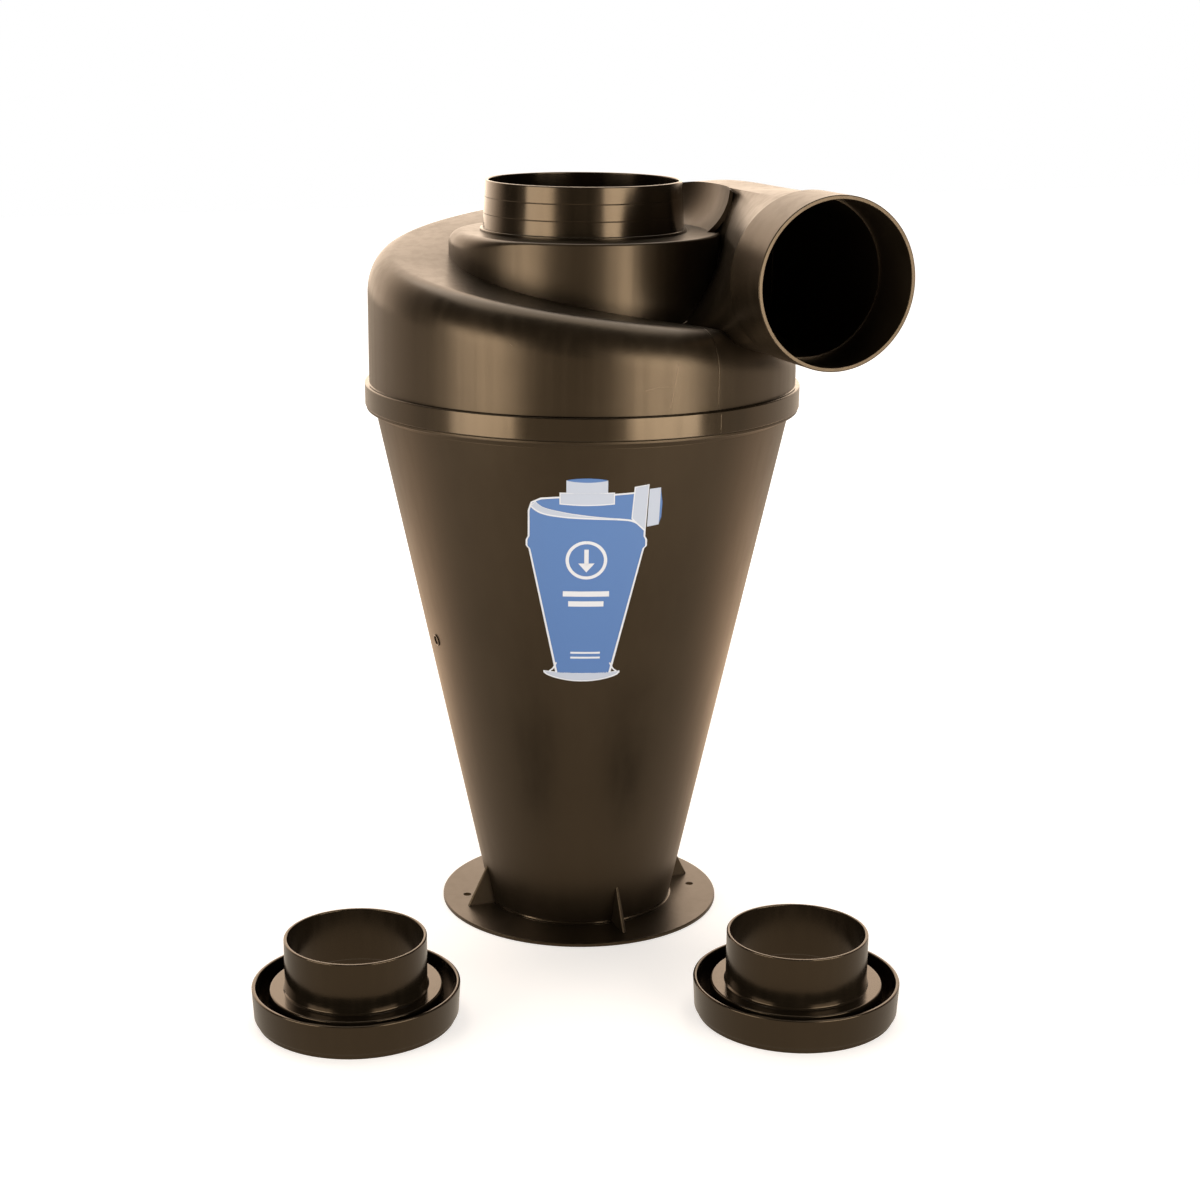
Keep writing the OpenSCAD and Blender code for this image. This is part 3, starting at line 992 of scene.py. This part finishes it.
    def duct_tool(self, name: str) -> bpy.types.Object:
        """The duct as a closed solid a little longer than it, used to cut other pieces."""
        grid = self.duct_grid(0.0, 0.2)
        ends = np.array([[100.0, y, 482.0] for y in grid[[0, -1], 0, 1]])
        return self.maker.solid(name, *capped(grid, ends))

    def under_roof(self) -> bpy.types.Object:
        """A closed solid of everything under the roof's outside where the duct crosses it."""
        turn = np.linspace(237.0, 360.0, 124)[:, None]
        z, edge = self.roof_at(turn), self.roof_edge(turn)
        corner, low = self.barrel_r - self.shoulder_w, self.barrel_top_z - 20
        angle = np.radians(np.linspace(90.0, 0.0, 25))[None, :]
        one = 1 + 0 * turn
        shoulder = corner + self.shoulder_w * np.cos(angle) * one
        radii = [99.0 * one, 99.0 * one, edge, shoulder, self.barrel_r * one]
        heights = [low * one, z, z, z - self.shoulder_h + self.shoulder_h * np.sin(angle), low * one]
        grid = cylindrical(turn, np.concatenate(radii, axis=1), np.concatenate(heights, axis=1))
        return self.maker.solid("tool_roof", *capped(grid, cylindrical(turn[[0, -1], 0], 130.0, low + 5)))

    def duct(self) -> None:
        """The duct: a thin wall that changes from round at the collar to the roof's own section."""
        outside, inside = self.duct_grid(0.0, 0.0), self.duct_grid(self.duct_wall, 0.0)
        points, faces = shell(outside, inside, wrap_columns=True)
        piece = self.maker.solid("duct", points, faces)
        low, high = self.barrel_top_z - 20, self.deck_z - self.deck_t
        core_r = self.wall_r - self.deck_t
        core = np.array([[0.001, low], [core_r, low], [core_r, high], [0.001, high]])
        core_tool = self.maker.solid("tool_core", *revolve(core, 360))
        h = np.linspace(self.deck_z, self.roof_at(0.0), 13)
        r, t, top = self.bowl_r(h), self.deck_t, self.roof_at(0.0)
        bowl = np.concatenate(
            [
                [[0.001, self.deck_z - t - 3], [r[0] + t, self.deck_z - t - 3]],
                np.stack([r + t, h - t], axis=-1),
                [[r[-1], top], [r[-1], top + 20], [0.001, top + 20]],
            ]
        )
        bowl_tool = self.maker.solid("tool_bowl", *revolve(bowl, 360))
        self.maker.cut(piece, self.under_roof(), core_tool, bowl_tool)
        self.maker.book(piece, HEAD_SATIN, "separator", Slot.BODY, ["inlet_duct"])

    def corner_web(self) -> None:
        """The web below the duct that closes the corner beside the rounded low end of the roof.

        It stands between the quarter ellipse x = c + w sin a, z = z0 - h (1 - cos a) and the duct above.
        """
        angle = np.radians(np.linspace(12.0, 90.0, 20))[:, None]
        rise = np.linspace(0.0, 1.0, 9)[None, :]
        z = self.roof_at(360.0)
        x = self.barrel_r - self.shoulder_w + self.shoulder_w * np.sin(angle)
        height = mix(z - self.shoulder_h * (1 - np.cos(angle)), z + 1.0, rise)
        front, back = (np.stack(np.broadcast_arrays(x, y, height), axis=-1) for y in (-3.0, 0.0))
        points, faces = shell(front, back)
        piece = self.maker.solid("corner_web", points, faces, 40)
        self.maker.book(piece, HEAD_SATIN, "separator", Slot.BODY)

    def collar(self) -> None:
        """The inlet collar: a rounded tube laid along Y."""
        corners = [
            (self.inlet_r - 2.8, 0.0, 0.1),
            (self.inlet_r, 0.0, 0.5),
            (self.inlet_r, self.inlet_len, 0.7),
            (self.inlet_bore_r, self.inlet_len, 0.5),
            (self.inlet_bore_r, 20.0, 6.0),
        ]
        points, faces = revolve(rounded(corners))
        laid = np.stack([points[:, 0], -points[:, 2], points[:, 1]], axis=-1)
        laid = laid + np.array([self.inlet_x, self.inlet_len - self.inlet_y, self.inlet_z])
        piece = self.maker.solid("inlet_ring", laid, faces)
        self.maker.book(piece, HEAD_SATIN, "separator", Slot.GLOSS, ["inlet_collar"])

    def outlet(self) -> None:
        """The outlet collar with its two fine grooves, its foot ring and the tube inside the head."""
        top, foot = self.outlet_top_z, self.deck_z

        def outside(z: float) -> float:
            """Radius of the drafted outside at a height."""
            return mix(self.outlet_foot_r, self.outlet_r, (z - foot) / (top - foot))

        corners = [(self.outlet_bore_r, foot - 0.3, 0.2), (outside(foot), foot - 0.3, 0.2)]
        for z in (foot + 13.0, foot + 25.5):
            corners += [(outside(z), z - 0.5, 0.3), (outside(z) - 0.10, z, 0.3), (outside(z), z + 0.5, 0.3)]
        corners += [(self.outlet_r, top, 0.8), (self.outlet_bore_r, top, 0.8)]
        piece = self.maker.ring("outlet_mouth", corners)
        self.maker.book(piece, GLOSS, "separator", Slot.GLOSS, ["outlet_collar"])
        r = self.outlet_foot_r
        piece = self.maker.ring(
            "outlet_step",
            [
                (r - 0.5, foot - 0.3, 0.1),
                (r + 2, foot - 0.3, 0.1),
                (r + 2, foot + 2.2, 0.8),
                (r - 0.5, foot + 2.2, 0.3),
            ],
        )
        self.maker.book(piece, GLOSS, "separator", Slot.GLOSS, ["outlet_foot_ring"])
        piece = self.maker.ring(
            "inner_tube",
            [
                (self.outlet_bore_r, self.finder_z, 0.8),
                (self.outlet_r, self.finder_z, 0.8),
                (self.outlet_r, foot, 0.1),
                (self.outlet_bore_r, foot, 0.1),
            ],
        )
        self.maker.book(piece, HEAD_SATIN, "separator", Slot.BODY, ["outlet_tube"])

    def barrel(self) -> None:
        """The straight barrel and the band round its foot."""
        r, w, z, b = self.barrel_r, self.wall, self.band_z, self.band_r
        top = self.barrel_top_z
        piece = self.maker.ring("barrel", [(r - w, z, 0.3), (r, z, 0.3), (r, top, 0.02), (r - w, top, 0.02)])
        self.maker.book(piece, HEAD_SATIN, "separator", Slot.BODY, ["head_barrel"])
        piece = self.maker.ring(
            "band",
            [
                (r - 0.4, z + 0.1, 0.2),
                (b - 0.1, z + 0.1, 0.5),
                (b, z + self.band_h, 0.9),
                (r + 0.7, z + self.band_h, 0.5),
                (r - 0.4, z + self.band_h + 0.5, 0.2),
            ],
        )
        self.maker.book(piece, GLOSS, "separator", Slot.GLOSS, ["joint_band"])

    def seams(self) -> None:
        """The raised lines that the mould leaves: up the barrel and band, and where wall meets duct.

        The line up the barrel keeps one turn: upright on the barrel, then over the shoulder's quarter
        ellipse. The one down the duct's side has the curve of the duct's outline, at the wall's radius.
        """
        z = self.roof_at(self.parting_turn) - self.shoulder_h
        bend = np.radians(np.linspace(0.0, 90.0, 24))
        over_r = self.barrel_r - self.shoulder_w * (1 - np.cos(bend))
        over_z = z + self.shoulder_h * np.sin(bend)
        r = np.concatenate([np.full(10, self.barrel_r), over_r])
        h = np.concatenate([np.linspace(self.band_z + self.band_h, z - 0.5, 10), over_z])
        paths = {"barrel": cylindrical(self.parting_turn, r - 0.05, h)}
        h = np.linspace(self.band_z + 0.6, self.band_z + self.band_h - 0.8, 12)
        paths["band"] = cylindrical(self.parting_turn, self.band_r - 0.12 + 0 * h, h)
        angle = np.radians(np.linspace(2.0, 80.0, 40))
        x = self.side_x + self.side_w * np.cos(angle) ** self.side_bend
        h = self.side_z - self.side_h * np.sin(angle) ** self.side_bend
        r = mix(self.deck_front_r, self.wall_r, ease((self.deck_z - h) / 17)) + 1.3
        y = -np.sqrt(r * r - x * x)
        paths["duct_side"] = np.stack([x * (1 + 0.5 / r) - 0.5, y * (1 + 0.5 / r), h], axis=-1)
        for part, path in paths.items():
            points, faces = rod(path, 0.9 if part == "duct_side" else 0.35)
            piece = self.maker.solid(f"mould_line_{part}", points, faces)
            self.maker.book(piece, GLOSS, "separator", Slot.GLOSS)

    def build(self) -> None:
        """Makes every piece of the head."""
        self.seams()
        self.barrel()
        self.roof()
        self.pedestal()
        self.deck()
        self.outlet()
        self.duct()
        self.corner_web()
        self.collar()


# --- label ---


@dataclass
class Label:
    """The printed label on the cone: a plain picture of the separator itself."""

    maker: Maker
    cone: LowerMoulding
    turn: float = 249.5
    lift: float = 0.08

    def lay(self, flat: Array, layer: int) -> Array:
        """Wraps (sideways, height) points round the cone.

        Args:
            flat: points (..., 2) in millimetres.
            layer: which print layer, counted from the cone outwards.

        Returns:
            Points (..., 3): the radius is the cone's at that height plus the layer's lift, and the
            turn is the sideways distance as seen straight on.
        """
        r = self.cone.foot_r + self.cone.slope() * (flat[..., 1] - self.cone.flange_t) + self.lift * layer
        turn = self.turn + np.degrees(np.arcsin(np.clip(flat[..., 0] / r, -1, 1)))
        return cylindrical(turn, r, flat[..., 1])

    def patch(
        self, name: str, left: Array, right: Array, layer: int, finish: PrintedVinyl, node: str = ""
    ) -> None:
        """A printed area between a left and a right line.

        Args:
            name: the piece's name.
            left: (sideways, height) points (n, 2) of one side.
            right: the matching points of the other side.
            layer: its print layer.
            finish: its colour.
            node: the CAD node that it stands for, if any.
        """
        share = np.linspace(0.0, 1.0, 25)[None, :, None]
        flat = mix(left[:, None, :], right[:, None, :], share)
        outer, inner = self.lay(flat, layer), self.lay(flat, layer - 1)
        points, faces = shell(outer, inner)
        piece = self.maker.solid(name, points, faces, 50)
        self.maker.book(piece, finish, "separator", Slot.LABEL, [node] if node else [])

    def stroke(self, name: str, path: Array, width: Array | float, layer: int, finish: PrintedVinyl) -> None:
        """A printed line along a path: its two sides lie half the width to either side."""
        along = np.gradient(path, axis=0)
        along /= np.linalg.norm(along, axis=1, keepdims=True)
        side = np.stack([-along[:, 1], along[:, 0]], axis=-1) * np.asarray(width).reshape(-1, 1) / 2
        self.patch(name, path - side, path + side, layer, finish)

    @staticmethod
    def line(points: Sequence[Point], count: int = 40, soft: float = 1.2) -> Array:
        """A path through points, evenly spaced and slightly softened at its corners."""
        p = np.array(points, float)
        far = np.concatenate([[0.0], np.cumsum(np.linalg.norm(np.diff(p, axis=0), axis=1))])
        at = np.linspace(0.0, far[-1], count)
        offsets = np.linspace(-soft, soft, 9)
        samples = [np.stack([np.interp(at + o, far, p[:, k]) for k in (0, 1)], axis=-1) for o in offsets]
        path = np.mean(samples, axis=0)
        path[0], path[-1] = p[0], p[-1]
        return path

    def body_edge(self, grow: float) -> tuple[Array, Array]:
        """The drawn body's left and right sides from its foot to its top, grown by a border."""
        g = grow
        left = [
            (-20.5 - g, 226 - g),
            (-41 - g, 326),
            (-43 - g, 328),
            (-43 - g, 333),
            (-41.5 - g, 335.5),
            (-41.5 - g, 356),
            (-39.5 - g * 0.9, 362 + g * 0.5),
            (-33 - g * 0.4, 365 + g),
            (-18, 366.5 + g),
        ]
        right = [
            (17.5 + g, 226 - g),
            (41 + g, 326),
            (43 + g, 328),
            (43 + g, 333),
            (41.5 + g, 335.5),
            (42 + g, 352),
            (41.5 + g, 362 + g * 0.5),
            (40 + g * 0.4, 368.8 + g),
            (34, 369.2 + g),
        ]
        return self.line(left, 140, 0.4), self.line(right, 140, 0.4)

    def foot(self, arc: Array) -> None:
        """The drawn flange, a shallow dish under the cone's foot, and its two ribs."""
        hump = np.sin(math.pi * arc)
        for grow, layer, finish, part in ((1.0, 2, LABEL_WHITE, "border"), (0.0, 3, LABEL_PALE, "flange")):
            x = mix(-30.0 - grow, 25.0 + grow, arc)
            low = np.stack([x, 226.6 - grow * 0.8 - 6.6 * hump**0.6], axis=-1)
            high = np.stack([x, 226.9 + grow * 0.6 - 1.2 * hump**0.7], axis=-1)
            self.patch(f"label_foot_{part}", low, high, layer, finish)
        for part, x0, x1 in (("left", -21.4, -26.6), ("right", 18.4, 23.6)):
            rib = self.line([(x0, 234.5), (mix(x0, x1, 0.45), 229.5), (x1, 227.0)], 16)
            self.stroke(f"label_rib_{part}", rib, 1.1, 3, LABEL_WHITE)

    def outlet(self, arc: Array) -> None:
        """The drawn outlet: two stacked pale collars and a blue mouth."""
        for name, x0, x1, z0, z1, layer, finish in (
            ("outlet_base_border", -20.0, 20.0, 361.6, 370.8, 3, LABEL_WHITE),
            ("outlet_base", -19.2, 19.2, 362.4, 370.0, 4, LABEL_PALE),
            ("outlet_neck", -15.1, 14.9, 370.6, 380.2, 3, LABEL_PALE),
        ):
            dip = 0.9 * np.sin(math.pi * arc)
            low = np.stack([mix(x0, x1, arc), z0 - dip], axis=-1)
            high = np.stack([mix(x0, x1, arc), z1 + 0 * dip], axis=-1)
            self.patch(f"label_{name}", low, high, layer, finish)
        bulge = 1.3 * np.sin(math.pi * arc) ** 0.7
        low = np.stack([mix(-14.4, 14.2, arc), 380.0 - bulge * 1.1], axis=-1)
        high = np.stack([mix(-14.4, 14.2, arc), 380.4 + bulge * 1.1], axis=-1)
        self.patch("label_outlet_mouth", low, high, 4, LABEL_BLUE)

    def inlet(self, arc: Array) -> None:
        """The drawn inlet: two pale collars that lean a little, and a blue mouth.

        Each is the area between the lines a to b and d to c of its four corners.
        """
        for part, layer, finish, a, b, c, d in (
            ("border", 3, LABEL_WHITE, (32.3, 349.8), (34.2, 374.6), (45.0, 376.2), (42.8, 338.8)),
            ("base", 4, LABEL_PALE, (33.1, 350.4), (35.0, 373.9), (44.3, 375.4), (42.3, 341.0)),
            ("neck", 4, LABEL_PALE, (43.9, 343.0), (45.2, 372.4), (53.6, 373.0), (52.6, 344.2)),
            ("mouth", 3, LABEL_BLUE, (52.4, 344.4), (53.4, 372.8), (54.9, 361.4), (54.3, 350.0)),
        ):
            near, far = (mix(np.array(p), np.array(q), arc[:, None]) for p, q in ((a, b), (d, c)))
            self.patch(f"label_inlet_{part}", near, far, layer, finish)

    def roof_line(self) -> None:
        """The drawn roof line: a pale band that thins as it falls to the right."""
        start = [(-39.4, 361.5), (-36, 357.6), (-29, 355.2), (-13, 352.8)]
        border = start + [(3.4, 351.4), (25, 349.7), (34, 348.4), (41, 342.5)]
        band = [(-38.8, 361.2), (-35.4, 357.8), (-28.6, 355.5), (-13, 353.1), (3.4, 351.6), (22, 350.1)]
        for part, points, wide, thin, reach, layer, finish in (
            ("border", border, 5.6, 1.4, 1.25, 3, LABEL_WHITE),
            ("band", band, 4.2, 0.3, 1.1, 4, LABEL_PALE),
        ):
            width = mix(wide, thin, ease(np.linspace(0, reach, 60)))
            self.stroke(f"label_roof_{part}", self.line(points, 60, 4.0), width, layer, finish)

    def marks(self) -> None:
        """Plain marks in place of any wording: a ring with an arrow down, and bars."""
        t = np.linspace(0.0, TAU, 61)
        ring = np.stack([14.0 * np.sin(t), 318.0 + 14.0 * np.cos(t)], axis=-1)
        self.stroke("label_ring", ring, 2.4, 3, LABEL_WHITE)
        self.stroke("label_arrow_stem", self.line([(0, 326.5), (0, 314)], 12), 3.2, 3, LABEL_WHITE)
        head = np.stack([np.linspace(-6.0, 0.0, 12), np.linspace(315.5, 308.5, 12)], axis=-1)
        self.patch("label_arrow_head", head, head * np.array([-1.0, 1.0]), 3, LABEL_WHITE)
        for name, z, half, thick in (
            ("upper", 291.0, 17.0, 4.2),
            ("middle", 283.0, 13.0, 4.2),
            ("small", 243.0, 11.0, 1.5),
            ("foot", 239.0, 11.0, 1.5),
        ):
            self.stroke(f"label_bar_{name}", self.line([(-half, z), (half, z)], 24), thick, 3, LABEL_WHITE)

    def build(self) -> None:
        """Prints the white border, the blue body, the pale ports and flange, and plain marks."""
        self.patch("label_border", *self.body_edge(1.3), 1, LABEL_WHITE, "label")
        self.patch("label_body", *self.body_edge(0.0), 2, LABEL_BLUE)
        arc = np.linspace(0.0, 1.0, 30)
        self.foot(arc)
        self.outlet(arc)
        self.inlet(arc)
        self.roof_line()
        self.marks()


# --- reducers ---


@dataclass
class Reducer:
    """One loose port reducer: tube, shoulder, floor, rim and spigot, standing on its spigot."""

    maker: Maker
    body: str
    place: Point
    height: float = 62.0
    tube_r: float = 51.3
    rim_r: float = 75.1
    rim_z: float = 26.3
    spigot_r: float = 71.7

    def piece(self, part: str, corners: Corners) -> None:
        """One ring of the reducer, in the place of its CAD node."""
        ring = self.maker.ring(f"{self.body}_{part}_ring", corners, (*self.place, 0.0))
        self.maker.book(ring, GLOSS, self.body, Slot.GLOSS, [f"{self.body}_{part}"])

    def build(self) -> None:
        """Makes the five rings."""
        r, w = self.tube_r, 2.4
        self.piece(
            "tube",
            [
                (r - w, 22.0, 0.3),
                (r + 1.2, 22.0, 0.1),
                (r + 1.2, 24.0, 0.1),
                (r + 0.25, 25.2, 1.2),
                (r, 30.0, 2.0),
                (r, self.height, 0.8),
                (r - w, self.height, 0.8),
            ],
        )
        self.piece(
            "shoulder",
            [
                (r - w + 0.1, 21.6, 0.6),
                (62.0, 21.6, 0.8),
                (62.0, 4.05, 0.3),
                (64.3, 4.05, 0.1),
                (62.3, 24.0, 1.3),
                (r - w + 0.1, 24.0, 0.3),
            ],
        )
        self.piece("floor", [(72.6, 4.05, 0.1), (72.6, 6.2, 0.1), (63.9, 6.2, 0.1), (63.9, 4.05, 0.1)])
        self.piece(
            "rim",
            [
                (72.2, 4.02, 0.1),
                (self.rim_r - 1.3, 4.02, 1.2),
                (self.rim_r, self.rim_z, 1.0),
                (72.3, self.rim_z, 1.0),
            ],
        )
        r = self.spigot_r
        self.piece("spigot", [(r - w, 0.0, 0.5), (r, 0.0, 0.6), (r, 4.3, 0.1), (r - w, 4.3, 0.1)])


# --- studio ---


@dataclass
class Studio:
    """Pale floor, soft light and the camera."""

    eye: Place = (-0.64897, -1.60256, 0.71415)
    look: Place = (0.37039, 0.89200, -0.25916)
    ahead: Place = (0.383, 0.924, 0.0)
    far_side: Place = (0.174, 0.985, 0.0)
    roll: float = -0.51
    lens: float = 67.29
    floor_bounce: float = 1.6
    room: float = 0.05
    behind: float = 3.0
    left_power: float = 20.0
    right_power: float = 25.0
    top_power: float = 26.0
    panel_r: float = 1.75
    panel_z: float = 0.42

    def camera(self) -> None:
        """The camera: a turn about its own line of sight by the roll."""
        look = Vector(self.look).normalized()
        right = look.cross(Vector((0, 0, 1))).normalized()
        up = right.cross(look)
        c, s = math.cos(math.radians(self.roll)), math.sin(math.radians(self.roll))
        x, y = right * c - up * s, right * s + up * c
        data = bpy.data.cameras.new("camera")
        data.lens, data.sensor_width = self.lens, 36.0
        data.clip_end = 50.0
        camera = bpy.data.objects.new("camera", data)
        rotation = Matrix((x, y, -look)).transposed().to_4x4()
        camera.matrix_world = Matrix.Translation(Vector(self.eye)) @ rotation
        bpy.context.scene.collection.objects.link(camera)
        bpy.context.scene.camera = camera

    def floor(self) -> None:
        """A wide pale floor.

        The camera sees it white, with the pieces' soft shadows. For light and reflections it glows a
        little, less and less away from the separator.
        """
        data = bpy.data.meshes.new("floor")
        h = 6.0
        data.from_pydata([(-h, -h, 0), (h, -h, 0), (h, h, 0), (-h, h, 0)], [], [(0, 1, 2, 3)])
        floor = bpy.data.objects.new("floor", data)
        g = Graph("floor")
        g.feed("Base Color", (0.70, 0.68, 0.66, 1.0))
        g.feed("Roughness", 0.8)
        g.feed("Specular IOR Level", 0.0)
        across = g.vector_math("DOT_PRODUCT", g.position(), self.ahead)
        away = g.vector_math("LENGTH", g.position())
        g.feed("Emission Color", g.blend(away.ramp(0.45, 1.3), (0.64, 0.625, 0.61), (1.0, 1.0, 1.0)))
        g.feed("Emission Strength", 1.0)
        share = across.ramp(-0.15, 0.45) * away.ramp(0.5, 1.5, 1.0, 0.15)
        tone = g.blend(share, (0.42, 0.365, 0.30), (1.3, 0.92, 0.62))
        glow = g.add("ShaderNodeEmission", {}, {"Color": tone, "Strength": self.floor_bounce})
        path = g.add("ShaderNodeLightPath", out="Is Camera Ray")
        seen = Value(g, g.shader.outputs["BSDF"])
        both = g.add("ShaderNodeMixShader", {}, {0: path, 1: glow, 2: seen})
        out = next(n for n in g.tree.nodes if n.type == "OUTPUT_MATERIAL")
        g.tree.links.new(both.socket, out.inputs["Surface"])
        data.materials.append(g.material)
        bpy.context.scene.collection.objects.link(floor)

    def panel(self, name: str, place: Place, aim: Place, size: Point, power: float, tint: Colour) -> None:
        """One soft light panel that faces a point."""
        data = bpy.data.lights.new(name, "AREA")
        data.shape, data.size, data.size_y = "RECTANGLE", *size
        data.energy, data.color = power, tint
        light = bpy.data.objects.new(name, data)
        facing = (Vector(aim) - Vector(place)).to_track_quat("-Z", "Y")
        light.matrix_world = Matrix.Translation(Vector(place)) @ facing.to_matrix().to_4x4()
        bpy.context.scene.collection.objects.link(light)

    def world(self) -> None:
        """A white surround for the eye, with a dark room in front and light behind for the reflections.

        Seen by the camera the world is white. For light and reflections its strength grows from the
        camera's side to the far side.
        """
        world = bpy.data.worlds.new("studio")
        world.use_nodes = True
        bpy.context.scene.world = world
        tree = world.node_tree
        back = next(n for n in tree.nodes if n.type == "BACKGROUND")
        out = next(n for n in tree.nodes if n.type == "OUTPUT_WORLD")
        new, link = tree.nodes.new, tree.links.new
        place = new("ShaderNodeTexCoord")
        split = new("ShaderNodeVectorMath")
        split.operation = "DOT_PRODUCT"
        split.inputs[1].default_value = self.far_side
        link(place.outputs["Generated"], split.inputs[0])
        level = new("ShaderNodeMapRange")
        level.interpolation_type = "SMOOTHSTEP"
        link(split.outputs["Value"], level.inputs["Value"])
        limits = {"From Min": 0.35, "From Max": 0.92, "To Min": self.room, "To Max": self.behind}
        for key, value in limits.items():
            level.inputs[key].default_value = value
        link(level.outputs["Result"], back.inputs["Strength"])
        back.inputs["Color"].default_value = (1.0, 0.80, 0.62, 1.0)
        seen = new("ShaderNodeBackground")
        seen.inputs["Color"].default_value = (1.0, 1.0, 1.0, 1.0)
        path = new("ShaderNodeLightPath")
        either = new("ShaderNodeMixShader")
        link(path.outputs["Is Camera Ray"], either.inputs["Fac"])
        link(back.outputs["Background"], either.inputs[1])
        link(seen.outputs["Background"], either.inputs[2])
        link(either.outputs["Shader"], out.inputs["Surface"])

    def lights(self) -> None:
        """Two tall soft panels, left and right of the camera, and a wide one overhead.

        Each panel stands at a turn from the camera's direction about the separator's axis.
        """
        towards_eye = math.atan2(self.look[1], self.look[0]) + math.pi
        for name, turn, wide, power, tint in (
            ("panel_left", -50.0, 1.08, self.left_power, (1.0, 0.93, 0.84)),
            ("panel_right", 42.0, 1.20, self.right_power, (1.0, 0.94, 0.86)),
        ):
            a = towards_eye + math.radians(turn)
            place = (self.panel_r * math.cos(a), self.panel_r * math.sin(a), self.panel_z)
            self.panel(name, place, (0.0, 0.0, self.panel_z), (wide, 0.84), power, tint)
        tint = (1.0, 0.98, 0.95)
        self.panel("panel_top", (0.2, 0.5, 2.1), (0.0, 0.0, 0.4), (2.2, 1.6), self.top_power, tint)

    def build(self) -> None:
        """Sets the whole studio up."""
        self.camera()
        self.floor()
        self.world()
        self.lights()
        bpy.context.scene.view_settings.view_transform = "Standard"


def main() -> None:
    """Builds the studio, the separator and both reducers."""
    logging.basicConfig(level=logging.INFO, format="%(name)s: %(message)s", stream=sys.stdout)
    maker = Maker()
    Studio().build()
    lower = LowerMoulding(maker)
    lower.build()
    Head(maker).build()
    Label(maker, lower).build()
    Reducer(maker, "reducer_a", (-236.4, -156.2)).build()
    Reducer(maker, "reducer_b", (64.1, -264.3)).build()


if __name__ == "__main__":
    main()
